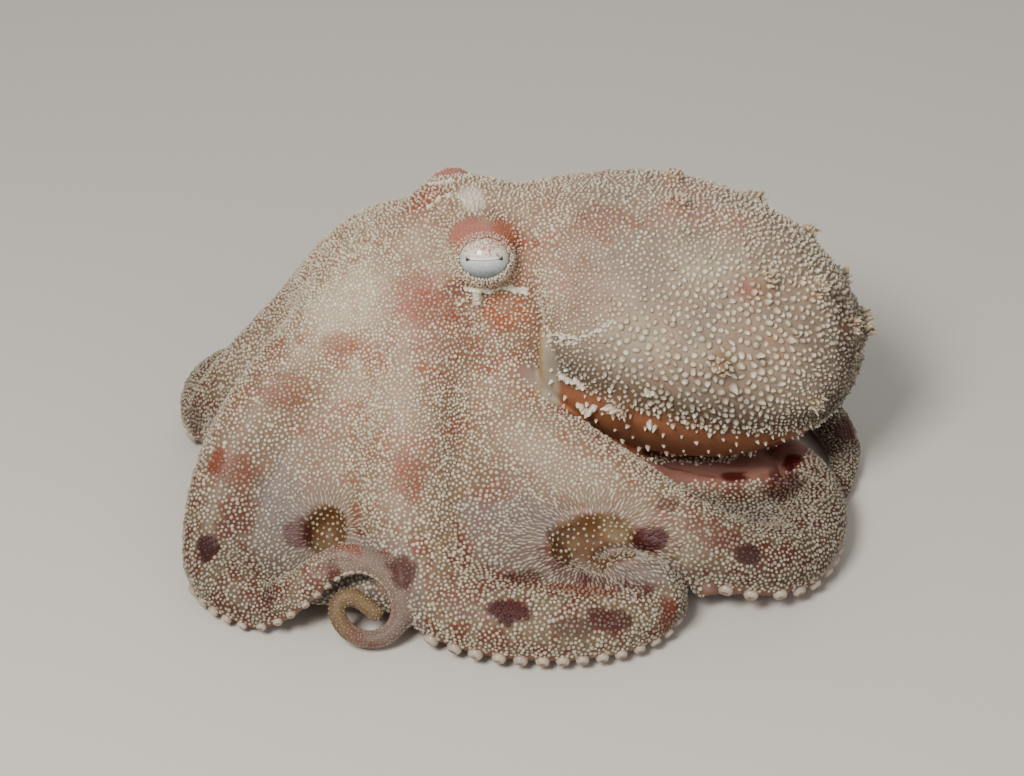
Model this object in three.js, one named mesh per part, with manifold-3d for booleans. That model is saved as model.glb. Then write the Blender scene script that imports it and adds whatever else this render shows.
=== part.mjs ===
/**
 * Octopus, life size: a small sand-dwelling octopus at rest, seen as a museum model.
 *
 * Frame: millimetres, +Z up, origin at the middle of the footprint on the floor.
 * The animal faces -X, its left side is towards -Y, and the sac-like mantle lies behind the head (+X).
 * The body stands on its arms, whose undersides are small flats on the floor plane.
 */
import * as THREE from 'three';
import { mergeVertices } from 'three/addons/utils/BufferGeometryUtils.js';
import Module from 'manifold-3d';

const wasm = await Module();
wasm.setup();

// ---- Driving dimensions (mm, degrees) ------------------------------------------------------------

const GAP = 0.3; // air between neighbouring solids
const FLOOR_BITE = 0.35; // how far each arm is pressed below the floor plane before it is cut flat
const ARM_SIDES = 6;
const ARM_STEP = 6.8; // ring spacing along the outstretched length of an arm
const CURL_STEP = 2.4; // ring spacing along the curled tip
const ROOT_INSET = 9; // how far an arm's root runs on inside the head
const WEB_FLOOR = 2.6; // underside of the web above the floor
const WEB_THICKNESS = 1.4; // least thickness of the web
const WEB_RISE = 0.9; // height of the web's top above an arm's middle, in arm radii
const WEB_STEPS = 4;
const WEB_COLUMNS = 2;

const MANTLE = { centre: [23.4, 0, 28.2], radii: [31.3, 22.7, 21.4], pitch: 18, front: 3.5 };
const HEAD_LUMPS = [
  { centre: [-6, 0, 37.4], radii: [16, 12, 13.2] }, // skull
  { centre: [-17, 0, 27], radii: [17, 17, 17.5] }, // crown, from which the arms spread
  { centre: [-8, 0, 24.5], radii: [15, 17, 13.5] }, // shoulders
  { centre: [6, 0, 33], radii: [13, 12.5, 15.5] }, // neck
];
const HEAD_YAW = 15; // the head is turned a little towards its left
const ORBIT = { forward: 7.6, side: 6.6, height: 43.6, radii: [6.4, 5.6, 6.2] };
const EYE = { forward: 7.4, side: 9.8, height: 44.5, radius: 3.9 };
const SIPHON = { from: [11, -11, 20], to: [-1.5, -14.8, 26.5], radii: [3.8, 2.4] };

// Larger papillae of the mantle: bearing round the sac and rise above its middle, for one side.
const PAPILLA = { height: 1.9, radius: 3.0, sides: 5 };
const PAPILLA_PLACES = [
  [-63, 52],
  [-138, 74],
  [-34, 47],
  [-23, 29],
  [-6, 21],
  [-81, 15],
  [-45, 2],
  [-103, -17],
];

/**
 * The eight arms. `way` is the route in plan from the crown outwards. The root is `height` above the
 * floor and comes down over `descent` (with the power `bell`). `lift` raises the last `liftOver` mm
 * before the curl. The curl is a row of `bends`, each a length and the degrees it turns through, about
 * an upright axis leaned `lean` round the heading. `radius` shrinks with the powers `swell` and
 * `taper`, and `tip` is the radius of the blunt end.
 */
const ARMS = {
  L1: {
    way: [[-19, -5], [-29.5, -11], [-39.6, -19.5], [-44.2, -30], [-40.6, -38.3], [-32.8, -42.2], [-23.2, -41.5]],
    height: 30, descent: 38, bell: 0.8, radius: 5.5, swell: 2.4, taper: 3.4, tip: 1.25,
    lift: 10.2, liftOver: 15, curl: { lean: 58, bends: [[10.4, -90], [6.7, -90], [7, -80], [4.8, -142], [3, 0]] },
  },
  L2: {
    way: [[-14, -9], [-15.5, -20], [-16, -31], [-12, -41], [-4, -46.5], [6, -48], [15.5, -46],
      [20.5, -40.5], [16.5, -35], [8, -34]],
    height: 27, descent: 36, bell: 1.35, radius: 6.6, swell: 1, taper: 0.55, tip: 0.7,
    lift: 0, liftOver: 1, curl: { lean: 0, bends: [[14, 60]] },
  },
  L3: {
    way: [[-7, -10], [4, -18.5], [15, -26], [26, -33], [36, -34.5], [43.5, -27], [46, -14], [42, -2],
      [33, 5]],
    height: 12.5, descent: 56, bell: 0.9, radius: 6.6, swell: 1, taper: 0.55, tip: 0.7,
    lift: 0, liftOver: 1, curl: { lean: 0, bends: [[14, 80]] },
  },
  L4: {
    way: [[-2, -6], [10, -11], [24, -15], [35, -14], [38.5, -6], [34, 0]],
    height: 16, descent: 26, bell: 1.2, radius: 5.0, swell: 1, taper: 0.6, tip: 0.7,
    lift: 0, liftOver: 1, curl: { lean: 0, bends: [[14, 120]] },
  },
  R4: {
    way: [[-2, 6], [10, 12], [24, 17], [38, 19], [49, 12], [52, 2], [50.5, -7]],
    height: 16, descent: 26, bell: 1.2, radius: 5.0, swell: 1, taper: 0.6, tip: 0.7,
    lift: 0, liftOver: 1, curl: { lean: 0, bends: [[10, -60]] },
  },
  R3: {
    way: [[-7, 10], [3, 20], [15, 29], [27, 34], [38, 31.5], [42, 25.5]],
    height: 14, descent: 50, bell: 1.0, radius: 6.4, swell: 1, taper: 0.6, tip: 0.7,
    lift: 0, liftOver: 1, curl: { lean: 0, bends: [[13, -95], [13, -145]] },
  },
  R2: {
    way: [[-14, 9], [-18, 21], [-20, 32], [-14, 41.5], [-4, 46], [8, 45.5], [16, 44]],
    height: 27, descent: 38, bell: 1.3, radius: 6.6, swell: 1, taper: 0.6, tip: 0.7,
    lift: 0, liftOver: 1, curl: { lean: 0, bends: [[18, -130], [18, -200]] },
  },
  R1: {
    way: [[-19, 5], [-30, 5], [-41, 4], [-48, 8], [-48.5, 18], [-41.5, 27], [-34, 32]],
    height: 30, descent: 29, bell: 0.75, radius: 6.0, swell: 1, taper: 0.7, tip: 0.7,
    lift: 0, liftOver: 1, curl: { lean: 0, bends: [[17, -140], [17, -225]] },
  },
};

// Where each arm is parted into a base, a middle and a tip, as fractions of its length.
const ARM_PARTS = [['base', 0, 0.33], ['mid', 0.33, 0.66], ['tip', 0.66, 1]];

// The web between neighbouring arms: how far along each arm it reaches, and how much it sags (mm).
const WEBS = [
  { arms: ['R1', 'L1'], reach: [32, 36], sag: 1.5 },
  { arms: ['L1', 'L2'], reach: [47, 37], sag: 2.5 },
  { arms: ['L2', 'L3'], reach: [60, 48], sag: 2 },
  { arms: ['L3', 'L4'], reach: [76, 44], sag: 1.5 },
  { arms: ['L4', 'R4'], reach: [40, 44], sag: 1 },
  { arms: ['R4', 'R3'], reach: [48, 46], sag: 1.5 },
  { arms: ['R3', 'R2'], reach: [46, 52], sag: 2 },
  { arms: ['R2', 'R1'], reach: [38, 46], sag: 2 },
];

// Pockets where the web folds in on itself between two arms.
const POCKETS = [
  { centre: [-27.6, -32.8, 10.9], radii: [3.0, 3.2, 3.4] },
  { centre: [11.2, -36.4, 11.3], radii: [6.2, 4.2, 3.8] },
];

// ---- Materials -----------------------------------------------------------------------------------

const FINISH = { roughness: 0.55, metalness: 0 };
const ARM_SKIN = 0xcdb9a3;
const WEB_SKIN = 0xd3c3bb;
const HEAD_SKIN = 0xc99a84;
const MANTLE_SKIN = 0xd8cdb8;
const SIPHON_SKIN = 0xe6dccb;
const EYE_WHITE = 0xd5d8d2;

// ---- Solids --------------------------------------------------------------------------------------

/** A closed solid for cutting and joining, from a three.js geometry. */
function toSolid(geometry) {
  const bare = geometry.index ? geometry.clone() : geometry;
  bare.deleteAttribute('normal');
  bare.deleteAttribute('uv');
  const merged = mergeVertices(bare, 1e-4);
  return new wasm.Manifold(new wasm.Mesh({
    numProp: 3,
    vertProperties: new Float32Array(merged.attributes.position.array),
    triVerts: new Uint32Array(merged.index.array),
  }));
}

/** The three.js geometry of a cut solid. */
function toGeometry(solid) {
  const mesh = solid.getMesh();
  const geometry = new THREE.BufferGeometry();
  geometry.setAttribute('position', new THREE.BufferAttribute(new Float32Array(mesh.vertProperties), 3));
  geometry.setIndex(new THREE.BufferAttribute(new Uint32Array(mesh.triVerts), 1));
  geometry.computeVertexNormals();
  return geometry;
}

/** The largest single body of a solid that cuts may have left in pieces. */
function largest(solid) {
  return solid.decompose().reduce((best, body) => (body.volume() > best.volume() ? body : best));
}

/** A skin of quads through rings of equal length, closed with a fan at each end. */
function loft(rings) {
  const sides = rings[0].length;
  const positions = rings.flat().flatMap((point) => [point.x, point.y, point.z]);
  const faces = [];
  for (let ring = 0; ring + 1 < rings.length; ring += 1) {
    for (let side = 0; side < sides; side += 1) {
      const a = ring * sides + side;
      const b = ring * sides + ((side + 1) % sides);
      faces.push(a, b, b + sides, a, b + sides, a + sides);
    }
  }
  const last = (rings.length - 1) * sides;
  for (let side = 1; side + 1 < sides; side += 1) {
    faces.push(0, side + 1, side, last, last + side, last + side + 1);
  }
  const geometry = new THREE.BufferGeometry();
  geometry.setAttribute('position', new THREE.Float32BufferAttribute(positions, 3));
  geometry.setIndex(faces);
  return geometry;
}

/** An ellipsoid, grown by `grow` all round and pitched about Y so that its -X end rises. */
function ellipsoid({ centre, radii, pitch = 0 }, grow, columns = 11, rows = 7) {
  const geometry = new THREE.SphereGeometry(1, columns, rows);
  geometry.rotateX(Math.PI / 2);
  geometry.scale(...radii.map((radius) => radius + grow));
  geometry.rotateY(THREE.MathUtils.degToRad(pitch));
  geometry.translate(...centre);
  return toSolid(geometry);
}

const floorBlock = toSolid(new THREE.BoxGeometry(400, 400, 40).translate(0, 0, -20));

// ---- Arms ----------------------------------------------------------------------------------------

const smoothstep = (x) => THREE.MathUtils.smoothstep(x, 0, 1);

/** Stations along an arm: place, radius and distance from the root. */
function armStations(arm) {
  const corners = arm.way.map(([x, y]) => new THREE.Vector3(x, y, 0));
  const plan = new THREE.CatmullRomCurve3(corners, false, 'catmullrom', 0.5);
  const runLength = plan.getLength();
  const runSteps = Math.round(runLength / ARM_STEP);
  const points = plan.getSpacedPoints(runSteps);
  const distances = points.map((_, index) => (index / runSteps) * runLength);

  const heading = plan.getTangentAt(1).normalize();
  const axis = new THREE.Vector3(0, 0, 1).applyAxisAngle(heading, THREE.MathUtils.degToRad(arm.curl.lean));
  const place = points[points.length - 1].clone();
  for (const [length, degrees] of arm.curl.bends) {
    const steps = Math.ceil(length / CURL_STEP);
    const halfTurn = THREE.MathUtils.degToRad(degrees) / steps / 2;
    for (let step = 0; step < steps; step += 1) {
      heading.applyAxisAngle(axis, halfTurn);
      place.addScaledVector(heading, length / steps);
      heading.applyAxisAngle(axis, halfTurn);
      points.push(place.clone());
      distances.push(distances[distances.length - 1] + length / steps);
    }
  }

  const total = distances[distances.length - 1];
  return points.map((point, index) => {
    const distance = distances[index];
    const radius = arm.radius * (1 - (distance / total) ** arm.swell) ** arm.taper + arm.tip;
    const raised = arm.lift * smoothstep((distance - runLength + arm.liftOver) / arm.liftOver);
    const root = arm.height * Math.max(0, 1 - distance / arm.descent) ** arm.bell;
    const centre = point.clone();
    centre.z += radius - FLOOR_BITE + raised + root;
    return { centre, radius, distance, total, curled: index > runSteps };
  });
}

/** Frames along the stations: upright along the run, then carried round the curl without twisting. */
function addFrames(stations) {
  const up = new THREE.Vector3(0, 0, 1);
  stations.forEach((station, index) => {
    const before = stations[Math.max(0, index - 1)].centre;
    const after = stations[Math.min(stations.length - 1, index + 1)].centre;
    const along = after.clone().sub(before).normalize();
    if (!station.curled) up.set(0, 0, 1);
    up.addScaledVector(along, -up.dot(along)).normalize();
    station.along = along;
    station.up = up.clone();
    station.side = new THREE.Vector3().crossVectors(along, up);
  });
  return stations;
}

/** The station at any distance along an arm. */
function stationAt(stations, distance) {
  const index = stations.findIndex((station) => station.distance >= distance);
  if (index <= 0) {
    const end = index === 0 ? stations[0] : stations[stations.length - 1];
    const level = new THREE.Vector3(end.along.x, end.along.y, 0).normalize();
    const onward = index === 0 ? level : end.along;
    return { ...end, distance, centre: end.centre.clone().addScaledVector(onward, distance - end.distance) };
  }
  const before = stations[index - 1];
  const after = stations[index];
  const share = (distance - before.distance) / (after.distance - before.distance);
  const mix = (key) => before[key].clone().lerp(after[key], share);
  return {
    distance,
    total: after.total,
    centre: mix('centre'),
    radius: THREE.MathUtils.lerp(before.radius, after.radius, share),
    along: mix('along').normalize(),
    up: mix('up').normalize(),
    side: mix('side').normalize(),
  };
}

/** One cross-section of an arm. A facet, not a corner, faces the floor. */
function armRing(station, grow, scale = 1) {
  const reach = ((station.radius + grow) * scale) / Math.cos(Math.PI / ARM_SIDES);
  return Array.from({ length: ARM_SIDES }, (_, corner) => {
    const angle = (0.75 + (corner + 0.5) / ARM_SIDES) * 2 * Math.PI;
    return station.centre.clone()
      .addScaledVector(station.side, -reach * Math.cos(angle))
      .addScaledVector(station.up, reach * Math.sin(angle));
  });
}

/** A length of an arm between two distances from its root. */
function armLength(stations, from, to, grow) {
  const start = stationAt(stations, from > 0 ? from - grow : -ROOT_INSET);
  const end = stationAt(stations, to + grow);
  const clear = ARM_STEP * 0.25;
  const between = stations.filter(({ distance }) => distance > from + clear && distance < to - clear);
  const rings = [start, ...between, end].map((station) => armRing(station, grow));
  if (to >= end.total) {
    const cap = stationAt(stations, to + grow + end.radius * 0.6);
    rings.push(armRing(cap, grow, 0.5));
  }
  return toSolid(loft(rings)).subtract(floorBlock);
}

const stationsOf = Object.fromEntries(
  Object.entries(ARMS).map(([name, arm]) => [name, addFrames(armStations(arm))]),
);

// ---- Web -----------------------------------------------------------------------------------------

/** One sector of web, ruled from arm to arm, sagging in the middle and raised off the floor. */
function webSector({ arms, reach, sag }, grow) {
  const rings = [];
  for (let step = 0; step <= WEB_STEPS; step += 1) {
    const share = step / WEB_STEPS;
    const [first, second] = arms.map((name, side) => stationAt(stationsOf[name], share * reach[side]));
    const top = [];
    const bottom = [];
    for (let column = 0; column <= WEB_COLUMNS; column += 1) {
      const across = column / WEB_COLUMNS;
      const place = first.centre.clone().lerp(second.centre, across);
      const lift = THREE.MathUtils.lerp(first.radius, second.radius, across) * WEB_RISE;
      const hang = sag * 4 * across * (1 - across) * smoothstep(share * 2);
      const height = Math.max(WEB_FLOOR + WEB_THICKNESS, place.z + lift - hang) + grow;
      top.push(new THREE.Vector3(place.x, place.y, height));
      bottom.unshift(new THREE.Vector3(place.x, place.y, WEB_FLOOR - grow));
    }
    rings.push([...top, ...bottom].reverse());
  }
  return toSolid(loft(rings));
}

// ---- Head, mantle and siphon ---------------------------------------------------------------------

/** A place beside the head's midline, `side` -1 for left and 1 for right, with the head's turn. */
function besideHead({ forward, side, height }, sign) {
  const place = new THREE.Vector3(-forward, sign * side, height);
  place.applyAxisAngle(new THREE.Vector3(0, 0, 1), THREE.MathUtils.degToRad(HEAD_YAW));
  return place.toArray();
}

function headSolid(grow) {
  const orbits = [-1, 1].map((sign) => ({ centre: besideHead(ORBIT, sign), radii: ORBIT.radii }));
  const lumps = [...HEAD_LUMPS, ...orbits].map((lump) => ellipsoid(lump, grow));
  return lumps.reduce((whole, lump) => whole.add(lump));
}

/** One larger papilla: a low cone standing out of the mantle's surface. */
function papilla(bearing, rise, grow) {
  const up = THREE.MathUtils.degToRad(rise);
  const round = THREE.MathUtils.degToRad(bearing);
  const level = Math.cos(up);
  const direction = new THREE.Vector3(level * Math.cos(round), level * Math.sin(round), Math.sin(up));
  const root = direction.clone().multiply(new THREE.Vector3(...MANTLE.radii));
  const cone = new THREE.ConeGeometry(PAPILLA.radius + grow, PAPILLA.height + 2 + grow, PAPILLA.sides);
  cone.translate(0, (PAPILLA.height - 2 + grow) / 2, 0);
  const normal = direction.clone().divide(new THREE.Vector3(...MANTLE.radii)).normalize();
  cone.applyQuaternion(new THREE.Quaternion().setFromUnitVectors(new THREE.Vector3(0, 1, 0), normal));
  cone.translate(root.x, root.y, root.z);
  cone.rotateY(THREE.MathUtils.degToRad(MANTLE.pitch));
  cone.translate(...MANTLE.centre);
  return toSolid(cone);
}

function mantleSolid(grow) {
  const block = new THREE.BoxGeometry(80, 80, 80).translate(MANTLE.front - grow - 40, 0, MANTLE.centre[2]);
  const front = toSolid(block);
  let solid = ellipsoid(MANTLE, grow, 18, 11).subtract(front);
  for (const [bearing, rise] of PAPILLA_PLACES) {
    solid = solid.add(papilla(bearing, rise, grow));
    solid = solid.add(papilla(-bearing, rise, grow));
  }
  return solid;
}

function eyeSolid(side, grow) {
  const centre = besideHead(EYE, side);
  return ellipsoid({ centre, radii: [EYE.radius, EYE.radius, EYE.radius] }, grow, 12, 8);
}

function siphonSolid(grow) {
  const from = new THREE.Vector3(...SIPHON.from);
  const to = new THREE.Vector3(...SIPHON.to);
  const [rootRadius, tipRadius] = SIPHON.radii.map((radius) => radius + grow);
  const tube = new THREE.CylinderGeometry(tipRadius, rootRadius, from.distanceTo(to) + grow, 12);
  const along = to.clone().sub(from).normalize();
  tube.applyQuaternion(new THREE.Quaternion().setFromUnitVectors(new THREE.Vector3(0, 1, 0), along));
  const middle = from.clone().lerp(to, 0.5);
  tube.translate(middle.x, middle.y, middle.z);
  return toSolid(tube);
}

// ---- Assembly ------------------------------------------------------------------------------------

/** Every piece in the order in which it keeps its space: a later piece is cut back by earlier ones. */
const pieces = [
  { name: 'eye_left', colour: EYE_WHITE, shape: (grow) => eyeSolid(-1, grow) },
  { name: 'eye_right', colour: EYE_WHITE, shape: (grow) => eyeSolid(1, grow) },
  { name: 'siphon', colour: SIPHON_SKIN, shape: siphonSolid },
  { name: 'head', colour: HEAD_SKIN, shape: headSolid },
  { name: 'mantle', colour: MANTLE_SKIN, shape: mantleSolid },
];
for (const [partName, from, to] of ARM_PARTS) {
  for (const [name, stations] of Object.entries(stationsOf)) {
    const { total } = stations[0];
    const shape = (grow) => armLength(stations, from * total, to * total, grow);
    pieces.push({ name: `arm_${name}_${partName}`, colour: ARM_SKIN, shape });
  }
}
for (const web of WEBS) {
  const pockets = POCKETS.map((pocket) => ellipsoid(pocket, 0, 9, 6));
  const shape = (grow) => pockets.reduce((solid, pocket) => solid.subtract(pocket), webSector(web, grow));
  pieces.push({ name: `web_${web.arms.join('_')}`, colour: WEB_SKIN, shape });
}

const octopus = new THREE.Group();
octopus.name = 'octopus';
const settled = [];
for (const { name, colour, shape } of pieces) {
  const solid = largest(settled.reduce((rest, earlier) => rest.subtract(earlier), shape(0)));
  settled.push(shape(GAP));
  const material = new THREE.MeshStandardMaterial({ color: colour, ...FINISH });
  const mesh = new THREE.Mesh(toGeometry(solid), material);
  mesh.name = name;
  octopus.add(mesh);
}

const bounds = new THREE.Box3().setFromObject(octopus);
const middle = bounds.getCenter(new THREE.Vector3());
octopus.position.set(-middle.x, -middle.y, -bounds.min.z);

export default octopus;
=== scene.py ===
"""The look of a small sand octopus at rest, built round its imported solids.

The body is described in millimetres in the body's own frame: the animal faces -X, its left side is
towards -Y, +Z is up and the floor is z = 0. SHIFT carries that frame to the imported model's.
"""
import math

import bpy
import numpy as np
import openvdb
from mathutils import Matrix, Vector
from mathutils.bvhtree import BVHTree
from mathutils.kdtree import KDTree


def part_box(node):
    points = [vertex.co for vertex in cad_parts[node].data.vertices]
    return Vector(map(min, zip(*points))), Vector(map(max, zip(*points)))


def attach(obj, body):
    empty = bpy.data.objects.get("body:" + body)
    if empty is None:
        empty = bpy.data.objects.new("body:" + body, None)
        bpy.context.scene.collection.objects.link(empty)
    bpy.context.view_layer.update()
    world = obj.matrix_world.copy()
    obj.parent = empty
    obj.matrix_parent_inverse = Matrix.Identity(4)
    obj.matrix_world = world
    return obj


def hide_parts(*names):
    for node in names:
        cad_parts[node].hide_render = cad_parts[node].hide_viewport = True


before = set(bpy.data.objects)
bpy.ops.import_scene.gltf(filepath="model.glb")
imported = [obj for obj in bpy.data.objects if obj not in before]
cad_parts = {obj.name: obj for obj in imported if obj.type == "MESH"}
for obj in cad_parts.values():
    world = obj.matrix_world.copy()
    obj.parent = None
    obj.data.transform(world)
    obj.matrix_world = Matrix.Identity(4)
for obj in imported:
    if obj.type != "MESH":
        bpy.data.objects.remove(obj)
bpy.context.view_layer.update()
rng = np.random.default_rng(20)
MM = 0.001

# ---- Driving dimensions (mm, degrees) --------------------------------------------------------------

COAT = 0.55  # depth of the papillae over the skin
FLOOR_BITE = 0.35  # how far the arms' round section is let into the floor
WEB_FLOOR = 2.9  # height of the web's underside away from the mouth
WEB_RISE = 0.9  # height of the web's top over the arms' middles, as a share of their radius
VOXEL = 0.52  # step of the grid of distances
MARGIN = 5.0  # how far from a piece its distances are worked out
FAR = 9.0  # the distance written where no piece is near

MANTLE = dict(centre=(23.4, 0, 28.2), radii=(31.3, 22.7, 21.4), pitch=18, front=3.5)
HEAD_LUMPS = [
    dict(centre=(-6, 0, 37.4), radii=(16, 12, 13.2)),  # skull
    dict(centre=(-17, 0, 27), radii=(17, 17, 17.5)),  # crown, from which the arms spread
    dict(centre=(-8, 0, 24.5), radii=(15, 17, 13.5)),  # shoulders
    dict(centre=(6, 0, 33), radii=(13, 12.5, 15.5)),  # neck
]
HEAD_YAW = 15
ORBIT = dict(forward=7.6, side=6.6, height=43.6, radii=(6.4, 5.6, 6.2))
EYE = dict(forward=7.4, side=9.8, height=44.5, radius=3.9, socket=0.45)  # the socket is that much tighter
# Half width and half height of the opening between the lids, their thickness, and how far it lies below the
# eye's axis
LIDS = dict(width=3.6, height=2.95, thick=0.38, drop=0.24)
SIPHON = dict(start=(11, -11, 20), end=(-0.5, -13.8, 26.2), radii=(3.2, 1.7))
PAPILLA = dict(out=1.5, sunk=0.8, radii=(2.1, 0.35))  # the mantle's larger papillae, as round cones
PAPILLA_PLACES = [(-63, 52), (-138, 74), (-34, 47), (-23, 29), (-6, 21), (-81, 15), (-45, 2), (-103, -17)]

# The arms: the route of each over the floor, the height of its root, how far along it comes down to the floor
# and the curve of that descent (bell), its radius and how it tapers, and the bends (length, degrees) of its
# end. `lean` turns the plane of the bends, and `lift` raises the end of the route over `lift_over` mm.
ARM_USUAL = dict(swell=1, taper=0.6, tip=0.7, lift=0, lift_over=1, lean=0)
ARMS = dict(
    L1=dict(way=[(-19, -5), (-29.5, -11), (-39.6, -19.5), (-44.2, -30), (-40.6, -38.3), (-32.8, -42.2),
                 (-23.2, -41.5)],
            height=30, descent=38, bell=0.8, radius=5.5, swell=2.4, taper=3.4, tip=1.25,
            lift=10.2, lift_over=15, lean=58, bends=[(10.4, -90), (6.7, -90), (7, -80), (4.8, -142), (3, 0)]),
    L2=dict(way=[(-14, -9), (-15.5, -20), (-16, -31), (-12, -41), (-4, -46.5), (6, -48), (15.5, -46),
                 (20.5, -40.5), (16.5, -35), (8, -34)],
            height=27, descent=36, bell=1.35, radius=6.6, taper=0.55, bends=[(14, 60)]),
    L3=dict(way=[(-7, -10), (4, -18.5), (15, -26), (26, -33), (36, -34.5), (43.5, -27), (46, -14), (42, -2),
                 (33, 5)],
            height=12.5, descent=56, bell=0.9, radius=6.6, taper=0.55, bends=[(14, 80)]),
    L4=dict(way=[(-2, -6), (10, -11), (24, -15), (35, -14), (38.5, -6), (34, 0)],
            height=16, descent=26, bell=1.2, radius=5.0, bends=[(14, 120)]),
    R4=dict(way=[(-2, 6), (10, 12), (24, 17), (38, 19), (49, 12), (52, 2), (50.5, -7)],
            height=16, descent=26, bell=1.2, radius=5.0, bends=[(10, -60)]),
    R3=dict(way=[(-7, 10), (3, 20), (15, 29), (27, 34), (38, 31.5), (42, 25.5)],
            height=14, descent=50, bell=1.0, radius=6.4, bends=[(13, -95), (13, -145)]),
    R2=dict(way=[(-14, 9), (-18, 21), (-20, 32), (-14, 41.5), (-4, 46), (8, 45.5), (16, 44)],
            height=27, descent=38, bell=1.3, radius=6.6, bends=[(18, -130), (18, -200)]),
    R1=dict(way=[(-19, 5), (-30, 5), (-41, 4), (-48, 8), (-48.5, 18), (-41.5, 27), (-34, 32)],
            height=30, descent=29, bell=0.75, radius=6.0, taper=0.7, bends=[(17, -140), (17, -225)]),
)
WEBS = [
    dict(arms=("R1", "L1"), reach=(32, 36), sag=1.5),
    dict(arms=("L1", "L2"), reach=(47, 37), sag=2.5),
    dict(arms=("L2", "L3"), reach=(60, 48), sag=2),
    dict(arms=("L3", "L4"), reach=(76, 44), sag=1.5),
    dict(arms=("L4", "R4"), reach=(40, 44), sag=1),
    dict(arms=("R4", "R3"), reach=(48, 46), sag=1.5),
    dict(arms=("R3", "R2"), reach=(46, 52), sag=2),
    dict(arms=("R2", "R1"), reach=(38, 46), sag=2),
]
POCKETS = [
    dict(centre=(-27.6, -32.8, 10.9), radii=(3.0, 3.2, 3.4)),
    dict(centre=(11.2, -36.4, 11.3), radii=(6.2, 4.2, 3.8)),
]
FREE_FROM = dict(L1=50, L2=77, L3=85, L4=60, R4=66, R3=60, R2=64, R1=58)  # mm from each arm's root
MOUTH = (-10, 0)
MOUTH_LIP = dict(radius=2.3, tube=0.95, pleats=18, pleat_depth=0.16)
GULLET = dict(height=0.6, radii=(1.7, 1.7, 2.2))  # the hole for the beak
LIP = dict(depth=0.75, radius=0.85)  # the smooth rim round the mantle's opening

# How far from a join its two pieces are drawn together; the nape's is added to the mantle's.
SOFT = dict(
    web=2.6, free_end=0.7, head=5.0, skull=2.5, orbit=2.0, siphon=2.4, lid=1.2, socket=0.15, opening=0.35,
    pocket=1.6, mouth=0.8, papilla=1.4, mantle=0.45, nape=5.5, floor=0.3)

CAMERA = dict(target=(-0.5, -3.0, 16.7), elevation=32, distance=400, pixels_per_mm_at_target=6.5)
IMAGE = (1024, 776)
LAMPS = dict(  # the way to each lamp, its distance and side in metres, its power in watts and its colour
    key=((-0.42, -0.85, 0.95), 0.5, 0.14, 3.1, (1.0, 0.965, 0.91)),
    fill=((0.7, -1.0, 0.45), 0.7, 0.5, 1.3, (1.0, 0.98, 0.95)),
    back=((0.2, 1.0, 0.9), 0.7, 0.5, 1.0, (1.0, 0.98, 0.95)),
)
LAMP_AIM = 0.02  # height in metres that the lamps look at
SKY = dict(colour=(1.0, 0.985, 0.96, 1), strength=0.26)
FLOOR = dict(size=6, level=-0.0002, colour=(0.60, 0.57, 0.52, 1), roughness=0.8)  # metres

# Creases (depth above 0) and rims (below 0) of the near side's skin: a route in pixels of IMAGE, its half
# width in pixels, the depth in mm, and the box of the body in mm that the fold lies in.
LOBE_BOX = ((2, -60, 0), (45, -22, 17))
FOLDS = dict(
    lobe_crease=([(600, 556), (618, 549), (645, 551), (671, 563), (688, 586), (693, 612)], 5, 1.5, LOBE_BOX),
    lobe_crest=([(613, 563), (634, 560), (657, 567), (674, 588), (677, 608)], 8, -0.8, LOBE_BOX),
    streak_hollow=([(572, 561), (600, 574), (630, 583), (655, 594)], 9, 0.7, LOBE_BOX),
    pocket_rim=([(556, 511), (545, 521), (544, 533), (552, 546), (567, 557)], 3, -0.55,
                ((-5, -50, 2), (25, -22, 17))),
    coil_crease=([(318, 571), (335, 561), (352, 563)], 4, 0.8, ((-45, -60, 0), (-15, -25, 14))),
)

# ---- Small helpers ---------------------------------------------------------------------------------


def unit(v):
    v = np.asarray(v, float)
    return v / np.linalg.norm(v, axis=-1, keepdims=True)


def ramp(x, low, high):
    t = np.clip((x - low) / (high - low), 0, 1)
    return t * t * (3 - 2 * t)


def mix(a, b, t):
    return a + (b - a) * t


def within(x, limit, fade):
    """1 where x lies under the limit by `fade` or more, 0 beyond the limit."""
    return ramp(limit - x, 0, fade)


def tone(a, b, share):
    """A colour or direction for each point, between a and b."""
    return mix(a, b, share[:, None])


def turn(v, axis, angle):
    c, s = math.cos(angle), math.sin(angle)
    return v * c + np.cross(axis, v) * s + axis * (axis @ v) * (1 - c)


def smooth_min(a, b, k):
    h = np.clip(0.5 + 0.5 * (b - a) / k, 0, 1)
    return b * (1 - h) + a * h - k * h * (1 - h)


def smooth_max(a, b, k):
    return -smooth_min(-a, -b, k)


def rotation_y(degrees):
    c, s = math.cos(math.radians(degrees)), math.sin(math.radians(degrees))
    return np.array([[c, 0, s], [0, 1, 0], [-s, 0, c]])


HASH_STEPS = (73856093, 19349663, 83492791, 1274126177)  # large odd numbers that scramble a cell's place


def value_noise(points, scale, seed=0):
    """Smooth noise in -1..1 with features about `scale` mm across."""
    q = np.asarray(points) / scale + seed * 17.3
    cell = np.floor(q).astype(np.int64)
    f = q - cell
    f = f * f * (3 - 2 * f)
    total = 0
    for dx in (0, 1):
        for dy in (0, 1):
            for dz in (0, 1):
                i, j, k = cell[:, 0] + dx, cell[:, 1] + dy, cell[:, 2] + dz
                key = i * HASH_STEPS[0] ^ j * HASH_STEPS[1] ^ k * HASH_STEPS[2]
                key = (key ^ (key >> 13)) * HASH_STEPS[3] & 0xFFFFFFFF
                value = ((key ^ (key >> 16)) & 0xFFFF) / 32767.5 - 1
                weight = (f[:, 0] if dx else 1 - f[:, 0]) * (f[:, 1] if dy else 1 - f[:, 1])
                total = total + value * weight * (f[:, 2] if dz else 1 - f[:, 2])
    return total


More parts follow.
